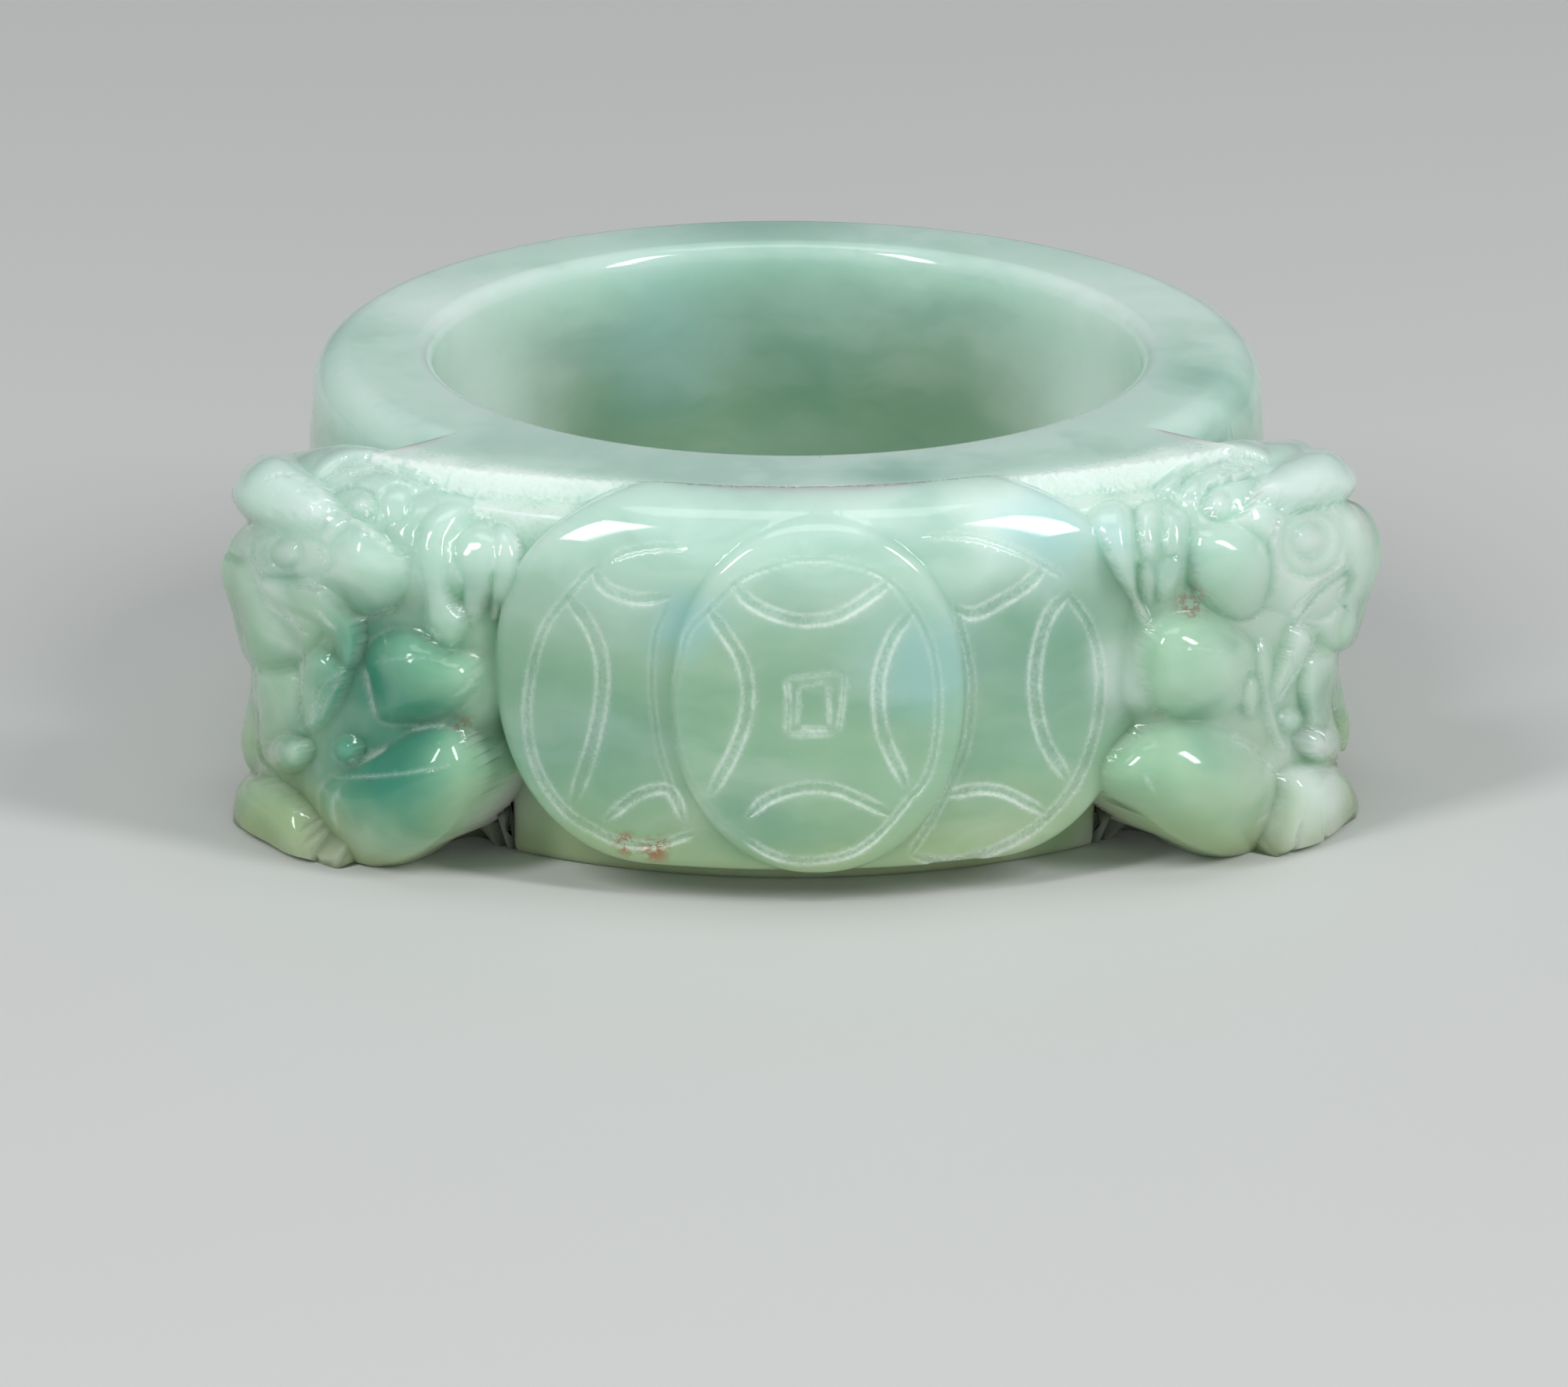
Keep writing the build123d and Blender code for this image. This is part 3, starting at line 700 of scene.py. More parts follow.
def evened(values, reach):
    """Mean over the cells within reach, both ways and twice over, which is close to a bell curve."""
    for axis in (0, 1, 0, 1):
        room = [(reach + 1, reach) if axis == way else (0, 0) for way in (0, 1)]
        running = np.cumsum(np.pad(values, room, mode="edge"), axis=axis)
        count = values.shape[axis]
        last = np.take(running, np.arange(count) + 2 * reach + 1, axis=axis)
        values = (last - np.take(running, np.arange(count), axis=axis)) / (2 * reach + 1)
    return values


def soften(values):
    """Each cell takes a quarter of its two neighbours and half of itself, both ways."""
    values = np.pad(values, 1, mode="edge")
    values = (values[:-2] + 2 * values[1:-1] + values[2:]) / 4
    return (values[:, :-2] + 2 * values[:, 1:-1] + values[:, 2:]) / 4


# %% Draw a relief map
TIP_WIDTH = 0.4
TIP_DEPTH = 0.25
TIP_LENGTH = 3
NOTCH_MATT = 1.6
CHANNEL_FLOOR = 0.4
CHANNEL_MATT = 0.45
BORDER_AT = 0.75


def relief_map(corner, size, drawn_forms, drawn_lines, ground, channels=False):
    """Height and matt share of every cell. A form's height is its lift plus its bulge times
    t (2 - t), where t runs from 0 at the edge to 1 at its soft distance inside. A line is a notch,
    or else a channel with a flat floor and two matt borders."""
    corner = np.asarray(corner, dtype=float)
    shape = (int(size[1] / CELL) + 1, int(size[0] / CELL) + 1)
    row, column = np.meshgrid(np.arange(shape[0]), np.arange(shape[1]), indexing="ij")
    cells = np.stack([corner[0] + column * CELL, corner[1] + row * CELL], axis=-1)
    height = np.full(shape, ground)
    matt = np.zeros(shape)
    for _name, lift, bulge, soft, points in drawn_forms:
        outline = smooth_curve(points, closed=True)
        rows, columns = near_box(outline, corner, shape, MARGIN)
        part = cells[rows, columns]
        depth = depth_inside(part.reshape(-1, 2), outline).reshape(part.shape[:2])
        depth = evened(depth, 1 + int(ROUNDED * soft / CELL))
        t = np.clip(depth / soft, 0, 1)
        edge = EDGE + EDGE_OF_SOFT * soft
        cover = smooth_step(-edge, edge, depth)
        height[rows, columns] += cover * (lift + bulge * t * (2 - t) - height[rows, columns])
        # The creases' matt share also whitens the colour later: partly frost, partly painted light.
        crease_frost_and_painted_light = CREASE_FROST_AND_PAINTED_LIGHT * (1 - smooth_step(EDGE / 2, CREASE_EDGES * EDGE, np.abs(depth)))
        matt[rows, columns] = np.maximum(matt[rows, columns] * (1 - cover), crease_frost_and_painted_light)
    height = soften(soften(height))
    for _name, half_width, depth, frost, points in drawn_lines:
        curve = smooth_curve(points, closed=False)
        rows, columns = near_box(curve, corner, shape, 2 * half_width)
        part = cells[rows, columns]
        gap, along, length = curve_distance(part.reshape(-1, 2), curve[:-1], curve[1:])
        to_end = np.minimum(along, length - along)
        taper = np.clip(to_end / (TIP_LENGTH * half_width) + TIP_DEPTH, 0, 1)
        width = half_width * (TIP_WIDTH + (1 - TIP_WIDTH) * taper)
        cut = taper * (1 - smooth_step(CHANNEL_FLOOR if channels else 0, 1, gap / width))
        dull = np.minimum(1, NOTCH_MATT * cut)
        if channels:
            border = 1 - smooth_step(0.1, 0.45, np.abs(gap / width - BORDER_AT))
            dull = taper * np.maximum(CHANNEL_MATT * cut, border)
        height[rows, columns] -= depth * cut.reshape(part.shape[:2])
        dull = frost * dull.reshape(part.shape[:2])
        matt[rows, columns] = np.maximum(matt[rows, columns], dull)
    return dict(corner=corner, height=height, matt=soften(matt))


# %% Read a relief map
def read_map(relief, places):
    """Height and matt share at places between the cells, by even shares of the four round it."""
    at = (places - relief["corner"]) / CELL
    limit = np.array(relief["height"].shape)[::-1] - 1.001
    at = np.clip(at, 0, limit)
    column, row = at.astype(int).T
    x, y = (at - at.astype(int)).T
    found = []
    for layer in (relief["height"], relief["matt"]):
        upper = layer[row, column] * (1 - x) + layer[row, column + 1] * x
        lower = layer[row + 1, column] * (1 - x) + layer[row + 1, column + 1] * x
        found.append(upper * (1 - y) + lower * y)
    return found


def to_picture_mm(side, points):
    """Points of an enlargement as millimetres from the photograph's upper left corner."""
    return [tuple((c + p / ENLARGED[side]) / PIXELS_PER_MM for c, p in zip(VIEW_CORNER[side], point))
            for point in points]


def drawn_in_mm(side, rows):
    """The rows of a side with their points in millimetres."""
    return [row[:-1] + (to_picture_mm(side, row[-1]),) for row in rows]


# %% Draw the three maps of the front
front_relief = {}
for side, ground in (("left", SUNK), ("right", SUNK), ("coins", 0.0)):
    corner = [c / PIXELS_PER_MM for c in VIEW_CORNER[side]]
    size = [s / ENLARGED[side] / PIXELS_PER_MM for s in VIEW_SIZE[side]]
    drawn_forms = drawn_in_mm(side, forms.get(side, ()))
    drawn_lines = drawn_in_mm(side, lines[side])
    front_relief[side] = relief_map(corner, size, drawn_forms, drawn_lines, ground, side == "coins")
    print(side, "relief:", len(drawn_forms), "forms and", len(drawn_lines), "lines")

# %% [markdown]
# ### The relief on the mass
# The height map is seen from the camera, so a place of the stone looks up its height where it shows
# in the photograph. Past a turn of 70 degrees that view slides off the stone, and the drawing of
# the back takes over, laid over the arc and the height. On the way there the sunk places rise to a
# shallow one, so no slit is left behind the beast.

# %% Beast distance
FRONT_TURN = 70
BACK_TURN = 78
SHALLOW_TURN = 63
SHALLOW = -0.3
NEAR = 2.5
ARC_PER_DEGREE = math.radians(16.5)
BACK_CORNER = (60 * ARC_PER_DEGREE, -0.5)
BACK_SIZE = (28 * ARC_PER_DEGREE, 12.0)
back_relief = relief_map(BACK_CORNER, BACK_SIZE,
                         [row[:-1] + ([(turn * ARC_PER_DEGREE, height) for turn, height in row[-1]],)
                          for row in side_forms], (), 0.0)
print("map of the back:", back_relief["height"].shape, "cells")


def beast_distance(points, side):
    """Distance to one beast, given on the +X side, and its matt share: the rough mass less the
    relief's height there."""
    base = mass_distance(points)
    whole = base.copy()
    matt = np.zeros(len(points))
    near = np.abs(base) < NEAR
    if not near.any():
        return whole, matt
    close = points[near]
    sign = 1 if side == "right" else -1
    shown = seen_at(close * np.array([sign, 1, 1])) / PIXELS_PER_MM
    height, frost = read_map(front_relief[side], shown)
    turn = np.degrees(np.arctan2(close[:, 0], -close[:, 1]))
    places = np.stack([turn * ARC_PER_DEGREE, close[:, 2] + HALF], axis=-1)
    back_height, back_frost = read_map(back_relief, places)
    lowest = SUNK + (SHALLOW - SUNK) * smooth_step(SHALLOW_TURN, FRONT_TURN, turn)
    height = np.maximum(height, lowest)
    share = smooth_step(FRONT_TURN, BACK_TURN, turn)
    whole[near] -= height + share * (back_height - height)
    matt[near] = frost + share * (back_frost - frost)
    return whole, matt


# %% [markdown]
# ## All of the stone
# Behind the coins the polished top ends in a narrow sunk ground, left matt from the tool. Both it and
# the land behind it widen towards the beasts, and their walls lean. A leaning wall's offset is more
# than its distance, so it is taken times a share below one.

# %% Ground distance
GROUND_OUT = 13.7
GROUND_STEP = 0.35
LAND_OUT = 12.6
GROUND_TURN = 50
WALL_LEAN = 0.5
WALL_REACH = 0.5
WALL_SHARE = 0.75
WIDE_TURN = 35
LAND_WIDENS = 1.0
GROUND_WIDENS = 0.4
GROUND_SLOPE = 0.25
GROUND_INNER = 11.3
GROUND_LOW = 1.0
END_SHARE = 0.25


def ground_distance(turn, out, height):
    """Distance to the land in front of the polished top and the sunk ground before it."""
    below = HALF - height
    wide = (turn / WIDE_TURN) ** 2
    reach = LAND_OUT + LAND_WIDENS * wide + WALL_LEAN * np.clip(below, 0, WALL_REACH)
    land = np.maximum((out - reach) * WALL_SHARE, -below)
    slope = GROUND_SLOPE * np.maximum(out - LAND_OUT, 0)
    lean = WALL_LEAN * np.clip(below - GROUND_STEP, 0, WALL_REACH)
    front = GROUND_OUT + GROUND_WIDENS * wide + lean
    sunk = np.maximum((out - front) * WALL_SHARE, GROUND_STEP + slope - below)
    sides = (np.abs(turn) - GROUND_TURN) * END_SHARE
    inner = np.maximum(GROUND_INNER - out, GROUND_LOW - height)
    return np.maximum(np.maximum(np.minimum(land, sunk), sides), inner)


edge_depth = ground_distance(0.0, LAND_OUT - 0.5, HALF - 0.5)
print("half a millimetre inside the land's edge the distance is", round(float(edge_depth), 2), "mm")

# %% [markdown]
# ### The union
# The whole ring is the union of band, ground, coins and beasts, and it is cut flat where it lies.
# The fillets between them are tight, except behind the beasts, where a wide one runs out on the band.

# %% Ring distance
FRONT_MARGIN = 4
LAND_MATT = 0.75
MATT_FROM = -0.35
MATT_TO = 0.45
MATT_REACH = 0.02
COIN_FILLET = 0.06
BEAST_START = 24
BEAST_END = 100
FILLET = 0.1
BACK_FILLET = 1.3
BACK_FILLET_START = 64
BACK_FILLET_END = 74


def ring_distance(points):
    """Distance to the whole ring, with the frosted share that the finish needs."""
    x, y, height = points.T
    out = np.hypot(x, y)
    turn = np.degrees(np.arctan2(x, -y))
    whole = band_distance(out, height)
    frost = np.zeros(len(points))
    front = np.abs(turn) < GROUND_TURN + FRONT_MARGIN
    ground = ground_distance(turn[front], out[front], height[front])
    past_land = out[front] - LAND_OUT - GROUND_WIDENS * (turn[front] / WIDE_TURN) ** 2
    matt = LAND_MATT * smooth_step(MATT_FROM, MATT_TO, past_land)
    matt[ground > whole[front] + MATT_REACH] = 0
    joined = np.minimum(whole[front], ground)
    engraved, dull = read_map(front_relief["coins"], seen_at(points[front]) / PIXELS_PER_MM)
    distance = coins_distance(turn[front], out[front], height[front], engraved)
    matt = np.where(distance < joined, dull, matt)
    whole[front] = smooth_min(joined, distance, COIN_FILLET)
    frost[front] = matt
    for side, sign in (("left", -1), ("right", 1)):
        mine = (sign * turn > BEAST_START) & (sign * turn < BEAST_END)
        distance, matt = beast_distance(points[mine] * np.array([sign, 1, 1]), side)
        frost[mine] = np.where(distance < whole[mine], matt, frost[mine])
        back = smooth_step(BACK_FILLET_START, BACK_FILLET_END, sign * turn[mine])
        whole[mine] = smooth_min(whole[mine], distance, FILLET + (BACK_FILLET - FILLET) * back)
    return np.maximum(whole, -HALF - height), frost


before_coin = np.array([on_ring(0, MIDDLE_FACE + 1, COIN_MIDDLE)])
print("1 mm before the middle coin:", round(float(ring_distance(before_coin)[0][0]), 2), "mm")

# %% [markdown]
# ## From distance to skin
# The skin is one closed grid: one direction runs round the ring, the other round its section.
# Every grid point has a ray that points into the stone, and walks along it by a share of the
# distance until the distance is nought. The rays are close together where the carving is and far
# apart at the plain back, so the detail gets the points.

# %% The grid's two directions
def spread(places, weights, count):
    """Values from the first place up to the last, their density following the weights between."""
    fine = np.linspace(places[0], places[-1], 4001)
    density = np.interp(fine, places, weights)
    running = np.concatenate([[0], np.cumsum((density[1:] + density[:-1]) / 2)])
    return np.interp(np.linspace(0, running[-1], count + 1), running, fine)[:-1]


# %% The turns of the grid
AROUND = 1120
turns = spread((-180, -95, -82, -36, -33, 33, 36, 82, 95, 180),
               (0.25, 0.4, 3.0, 3.2, 3.2, 3.2, 3.2, 3.0, 0.4, 0.25), AROUND)
print("turns:", AROUND, "and", int((np.abs(turns) < 82).sum()), "of them in the carving")


# %% The smooth section that the rays start from
def section_base(turn):
    """The smooth section that the rays start from at each turn: how far out its top and its foot
    reach and how round those corners are. It swells where the beasts are."""
    side = abs(turn)
    beast = smooth_step(30, 40, side) * (1 - smooth_step(64, 84, side))
    coin = 1 - smooth_step(30, 40, side)
    foot = smooth_step(34, 41, side) * (1 - smooth_step(60, 80, side))
    top_out = 12.6 + 2.4 * coin + 4.2 * beast
    top_round = 0.9 + 1.1 * coin + 2.1 * beast
    return top_out, top_round, 13.1 + 3.2 * foot, 0.3 + 0.7 * foot


# %% The rays of a section
FINE_FROM = 11.6


def section_rays(turn):
    """Start places (distance out, height) and directions of the rays round one section. The rays
    go straight out from the flats and fan out over the rounded corners. Each stretch has a count of
    rays, and most of them stand on the outer wall, where the carving is."""
    top_out, top_round, foot_out, foot_round = section_base(turn)
    bits = []

    def flat(start, end, count, outward):
        share = np.arange(count) / count
        places = np.array(start) + share[:, None] * (np.array(end) - np.array(start))
        bits.append(np.concatenate([places, np.tile(outward, (count, 1))], axis=1))

    def corner(centre, radius, start_angle, end_angle, count):
        angle = np.radians(start_angle + np.arange(count) / count * (end_angle - start_angle))
        outward = np.stack([np.cos(angle), np.sin(angle)], axis=1)
        bits.append(np.concatenate([np.array(centre) + radius * outward, outward], axis=1))

    low, high = -HALF, HALF
    bore_side = BORE + BORE_ROUND
    flat((BORE, low + BORE_ROUND), (BORE, high - BORE_ROUND), 8, (-1, 0))
    corner((bore_side, high - BORE_ROUND), BORE_ROUND, 180, 90, 6)
    flat((bore_side, high), (FINE_FROM, high), 10, (0, 1))
    flat((FINE_FROM, high), (top_out - top_round, high), 28, (0, 1))
    corner((top_out - top_round, high - top_round), top_round, 90, 0, 46)
    flat((top_out, high - top_round), (foot_out, low + foot_round), 190, (1, 0))
    corner((foot_out - foot_round, low + foot_round), foot_round, 0, -90, 12)
    flat((foot_out - foot_round, low), (bore_side, low), 6, (0, -1))
    corner((bore_side, low + BORE_ROUND), BORE_ROUND, -90, -180, 6)
    return np.concatenate(bits)


rays = np.stack([section_rays(turn) for turn in turns])
SECTION = rays.shape[1]
print("grid:", AROUND, "round the ring by", SECTION, "round the section")

# %% Where the rays start
angle = np.radians(turns)[:, None]
plan = np.stack([np.sin(angle), -np.cos(angle)], axis=-1)
base = np.concatenate([rays[..., 0:1] * plan, rays[..., 1:2]], axis=-1).reshape(-1, 3)
aim = np.concatenate([rays[..., 2:3] * plan, rays[..., 3:4]], axis=-1).reshape(-1, 3)
print("rays:", len(base))

# %% Walk the rays to the skin
START_OUT = 4.0
START_IN_BORE = 1.5
DEEPEST = -6.0
STRIDE = 0.55
SHORTEST = 0.008
OFF_STONE = 0.05


def walk(base, aim, steps=60, halvings=9):
    """Distance along each ray at which it enters the stone. A ray walks in by a share of the distance
    until it is inside, and then the last step is halved again and again towards the skin."""
    inside = np.full(len(base), START_OUT)
    in_bore = (aim[:, 2] == 0) & (np.hypot(base[:, 0], base[:, 1]) < BORE + 0.01)
    inside[in_bore] = START_IN_BORE
    outside = inside.copy()
    live = np.arange(len(base))
    for _ in range(steps):
        distance, _matt = ring_distance(base[live] + inside[live, None] * aim[live])
        live, distance = live[distance > 0], distance[distance > 0]
        outside[live] = inside[live]
        inside[live] -= np.clip(distance * STRIDE, SHORTEST, None)
        live = live[inside[live] > DEEPEST]
        if not len(live):
            break
    for _ in range(halvings):
        middle = (inside + outside) / 2
        within = ring_distance(base + middle[:, None] * aim)[0] < 0
        inside = np.where(within, middle, inside)
        outside = np.where(within, outside, middle)
    return np.maximum(outside, DEEPEST)


skin = base + walk(base, aim)[:, None] * aim
left_over, skin_frost = ring_distance(skin)
off = int((np.abs(left_over) > OFF_STONE).sum())
print("skin:", len(skin), "points,", off, "of them over", OFF_STONE, "mm off the stone")

# %% Put the skin into a mesh
ROUGH = 0.0025


def closed_grid(name, points, rows, columns):
    """Mesh of a grid that closes in both directions, four neighbours to a face."""
    row, column = np.meshgrid(np.arange(rows), np.arange(columns), indexing="ij")
    down, across = (row + 1) % rows, (column + 1) % columns
    quads = np.stack([row * columns + column, row * columns + across, down * columns + across,
                      down * columns + column], axis=-1).reshape(-1, 4)
    mesh = bpy.data.meshes.new(name)
    mesh.vertices.add(len(points))
    mesh.vertices.foreach_set("co", (points * MM).astype(np.float32).ravel())
    mesh.loops.add(quads.size)
    mesh.loops.foreach_set("vertex_index", quads.astype(np.int32).ravel())
    mesh.polygons.add(len(quads))
    mesh.polygons.foreach_set("loop_start", np.arange(0, quads.size, 4, dtype=np.int32))
    mesh.update(calc_edges=True)
    piece = bpy.data.objects.new(name, mesh)
    bpy.context.scene.collection.objects.link(piece)
    return piece


skin += ROUGH * rng.standard_normal((len(skin), 1)) * aim
stone = closed_grid("carved_stone", skin, AROUND, SECTION)

# %% [markdown]
# ### Fewer triangles, in the right places
# The even grid has many more faces than plain stone needs. The trace of roughness that it got above
# keeps the thinning from leaving long splinters on the plain faces. Collapsing the edges that matter
# least leaves large triangles on the flats and small ones in the carving. The points on the coins'
# lines are kept out of it, so the lines stay whole.

# %% Thin the skin
TRIANGLES = 196000
LINE_FROST = 0.12
LINES_OUT = 14.0
LINES_TURN = 34


def thinned(piece, triangles, kept):
    """Collapse the piece's edges until about that many triangles are left, the kept points last."""
    loops = len(piece.data.loops)
    piece.vertex_groups.new(name="kept").add(np.flatnonzero(kept).tolist(), 1.0, "REPLACE")
    collapse = piece.modifiers.new("collapse", "DECIMATE")
    collapse.vertex_group = "kept"
    collapse.invert_vertex_group = True
    collapse.vertex_group_factor = 1.0
    collapse.ratio = triangles / (loops - 2 * len(piece.data.polygons))
    seen = piece.evaluated_get(bpy.context.evaluated_depsgraph_get())
    mesh = bpy.data.meshes.new_from_object(seen)
    piece.modifiers.clear()
    piece.data = mesh
    piece.vertex_groups.clear()
    return mesh


kept = (skin_frost > LINE_FROST) & (np.hypot(skin[:, 0], skin[:, 1]) > LINES_OUT)
kept &= np.repeat(np.abs(turns) < LINES_TURN, SECTION)
print("kept on lines:", int(kept.sum()), "points")
mesh = thinned(stone, TRIANGLES, kept)
mesh.name = "carved_stone"

# %% [markdown]
# ### Polish
# Each point that is left is put back on the stone, by a few steps against the slope of the distance,
# and its normal is the direction in which the distance grows fastest. So the polish stays even
# however the triangles lie.

# %% Settle the points and set their normals
PROBE = 0.02
SETTLE = 3
GENTLEST = 0.5


def slope_at(points):
    """How the distance grows along each axis, from probes a short way to both sides."""
    slope = np.zeros_like(points)
    for axis in range(3):
        probe = np.zeros(3)
        probe[axis] = PROBE
        beyond, _frost = ring_distance(points + probe)
        before, _frost = ring_distance(points - probe)
        slope[:, axis] = (beyond - before) / (2 * PROBE)
    return slope


points = np.empty(len(mesh.vertices) * 3, dtype=np.float32)
mesh.vertices.foreach_get("co", points)
points = points.reshape(-1, 3).astype(float) / MM
for _ in range(SETTLE):
    slope = slope_at(points)
    distance, _frost = ring_distance(points)
    steepness = np.maximum((slope ** 2).sum(axis=1, keepdims=True), GENTLEST)
    points -= np.clip(distance[:, None] * slope / steepness, -2 * PROBE, 2 * PROBE)
slope = slope_at(points)
_distance, frost = ring_distance(points)
normals = slope / np.maximum(np.linalg.norm(slope, axis=1, keepdims=True), 1e-6)
mesh.vertices.foreach_set("co", (points * MM).astype(np.float32).ravel())
mesh.polygons.foreach_set("use_smooth", np.ones(len(mesh.polygons), dtype=bool))
mesh.update()
mesh.normals_split_custom_set_from_vertices(normals.tolist())
mark = mesh.attributes.new("frost", "FLOAT", "POINT")
mark.data.foreach_set("value", frost.astype(np.float32))

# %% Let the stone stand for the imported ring
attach(stone, "root")
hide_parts("jadeite_ring")
print("stone:", len(mesh.vertices), "points,", len(mesh.polygons), "faces")

# %% [markdown]
# ## The jade
# Jade is a felt of tiny crystals: light goes in a few millimetres, spreads and comes back soft and
# green. The polish on top is glassy. Its colour is cloudy, pale mint at the top, a teal patch here
# and there, and yellow-green towards the foot. Subsurface scattering gives the depth, a few noise
# clouds give the colour, and the sunk lines are left rough and white, as the tool leaves them.

# %% Helpers for nodes
def nodes_of(material):
    """The material's node tree, emptied."""
    material.use_nodes = True
    tree = material.node_tree
    tree.nodes.clear()
    return tree


def add(tree, kind, **values):
    """A new node of a kind, with its properties and the values of its inputs set by name."""
    node = tree.nodes.new(kind)
    for key, value in values.items():
        if key in node.inputs:
            node.inputs[key].default_value = value
        else:
            setattr(node, key, value)
    return node


def mix_colour(tree, share, low, high):
    """The first colour where the share is nought, the second where it is one."""
    node = tree.nodes.new("ShaderNodeMix")
    node.data_type = "RGBA"
    for socket, value in ((node.inputs[0], share), (node.inputs[6], low), (node.inputs[7], high)):
        if isinstance(value, bpy.types.NodeSocket):
            tree.links.new(value, socket)
        else:
            socket.default_value = value
    return node.outputs[2]


def ramp(tree, source, low, high, low_value=0.0, high_value=1.0):
    """A soft rise from the low value, at low, to the high value, at high."""
    node = tree.nodes.new("ShaderNodeMapRange")
    node.interpolation_type = "SMOOTHSTEP"
    tree.links.new(source, node.inputs["Value"])
    node.inputs["From Min"].default_value = low
    node.inputs["From Max"].default_value = high
    node.inputs["To Min"].default_value = low_value
    node.inputs["To Max"].default_value = high_value
    return node.outputs["Result"]


def calc(tree, operation, first, second=0.0):
    """One sum, product or maximum of two values or sockets."""
    node = tree.nodes.new("ShaderNodeMath")
    node.operation = operation
    for socket, value in ((node.inputs[0], first), (node.inputs[1], second)):
        if isinstance(value, bpy.types.NodeSocket):
            tree.links.new(value, socket)
        else:
            socket.default_value = value
    return node.outputs[0]


def cloud(tree, place, size_mm, detail, roughness=0.5):
    """Noise whose clouds are about size_mm across."""
    node = add(tree, "ShaderNodeTexNoise", Scale=1 / (size_mm * MM), Detail=detail, Roughness=roughness)
    tree.links.new(place, node.inputs["Vector"])
    return node.outputs["Fac"]


# %% The colours of the stone
MINT = (0.53, 0.72, 0.64, 1)
GREEN = (0.31, 0.50, 0.34, 1)
MOSS = (0.30, 0.39, 0.18, 1)
# The deep colour is the stone's own teal and dark green, and at the back of the top it is painted
# shade.
DEEP_AND_PAINTED_SHADE = (0.04, 0.25, 0.17, 1)
BLUE = (0.30, 0.58, 0.58, 1)
WHITE = (0.78, 0.87, 0.82, 1)
# The pale colour is the stone's own pale tint, and on the bore's sides it is painted light.
PALE_AND_PAINTED_LIGHT = (0.80, 0.92, 0.87, 1)
RUST = (0.30, 0.13, 0.06, 1)
print("the main green reflects", [round(part, 2) for part in MINT[:3]], "of red, green and blue")

# %% [markdown]
# ### Patches of colour
# The photograph shows where this stone is darker, bluer or stained. Each patch is a soft ball of
# colour in the stone: its turn, distance out and height, its radius in millimetres and its strength.
# The pale balls on the bore's left and right sides are painted light in the shaded bore, and the
# deep ball at the back of the top is painted shade.

# %% Patch table
patches = {
    "deep": (
        ("left_haunch", -42, 16.6, 3.0, 2.8, 0.95), ("left_chest", -42, 16.2, 5.2, 2.6, 0.95),
        ("left_foot_ball", -52, 16.9, 3.2, 1.0, 0.5), ("right_haunch", 40, 16.9, 3.8, 1.3, 0.4),
        ("right_coin", 24, 15.0, 6.4, 3.2, 0.4), ("middle_low", -5, 15.3, 2.3, 1.6, 0.3),
        ("left_coin", -25, 15.0, 4.2, 4.2, 0.25), ("right_ball", 51, 17.0, 3.0, 0.9, 0.4),
        ("top_right", 11, 11.5, 10.6, 1.6, 0.35), ("top_side", 72, 11.8, 10.6, 1.7, 0.3),
        # The ball at the back of the top is painted shade: it darkens the far rim.
        ("top_back_painted_shade", 181, 11.5, 10.6, 4.0, 0.45), ("bore_back", 176, 9.5, 6.6, 2.2, 0.3),
        ("back_wall", 108, 12.8, 7.0, 2.0, 0.4),
    ),
    "pale": (
        # The bore's left and right balls are painted light: they brighten the bore's sides, which lie
        # in shade.
        ("bore_left", -116, 9.8, 7, 5.5, 1.0), ("bore_right_painted_light", 112, 9.8, 7, 5.5, 1.0),
        ("right_coin_top", 22, 14.6, 9.9, 2.0, 0.6), ("left_head", -50, 17, 9, 2.6, 0.3),
        ("right_jaw", 54, 17, 7.5, 4.2, 0.55), ("right_foot", 52, 17, 1.6, 2.4, 0.65),
        ("right_rim", 32, 15, 5.6, 1.4, 0.6), ("right_body", 46, 17, 4.4, 4.6, 0.25),
        ("left_jaw", -57, 17, 6.4, 1.6, 0.4),
    ),
    "blue": (
        ("left_of_middle", -13, 15.3, 7.6, 1.3, 0.7), ("right_of_middle", 11, 15.3, 6.6, 2.2, 0.5),
        ("coin_top", 24, 14.6, 9.6, 1.5, 0.6), ("paw", 30, 15.4, 9.8, 1.0, 0.5),
        ("bore_left", 200, 9.5, 8, 3.0, 0.4),
    ),
    "rust": (
        ("coin_rim", -18.6, 15.05, 1.45, 0.45, 0.9), ("coin_rim_end", -15.6, 15.05, 1.35, 0.5, 0.9),
        ("left_groove", -35.5, 15.0, 6.0, 0.6, 0.7), ("left_low_groove", -36.5, 15.2, 4.2, 0.6, 0.7),
        ("right_groove", 37, 15.2, 4.6, 0.6, 0.7), ("right_cheek", 39, 15.9, 7.2, 0.6, 0.6),
    ),
}


def patch_share(tree, place, rows):
    """How much of a colour is at a place: the strongest of the balls, each fading to its edge."""
    share = 0.0
    for _name, turn, out, height, radius, strength in rows:
        centre = on_ring(turn, out, height) * MM
        away = add(tree, "ShaderNodeVectorMath", operation="DISTANCE")
        tree.links.new(place, away.inputs[0])
        away.inputs[1].default_value = centre
        ball = ramp(tree, away.outputs["Value"], 0.15 * radius * MM, 1.15 * radius * MM, strength, 0.0)
        share = calc(tree, "MAXIMUM", share, ball)
    return share


print("patches:", {colour: len(rows) for colour, rows in patches.items()})

# %% [markdown]
# ### The stone itself
# The shader is a glassy coat over stone that scatters light. Before any pattern is laid on it, space
# is bent by a coarse noise, so the patches' balls and the bands of height get wandering outlines.

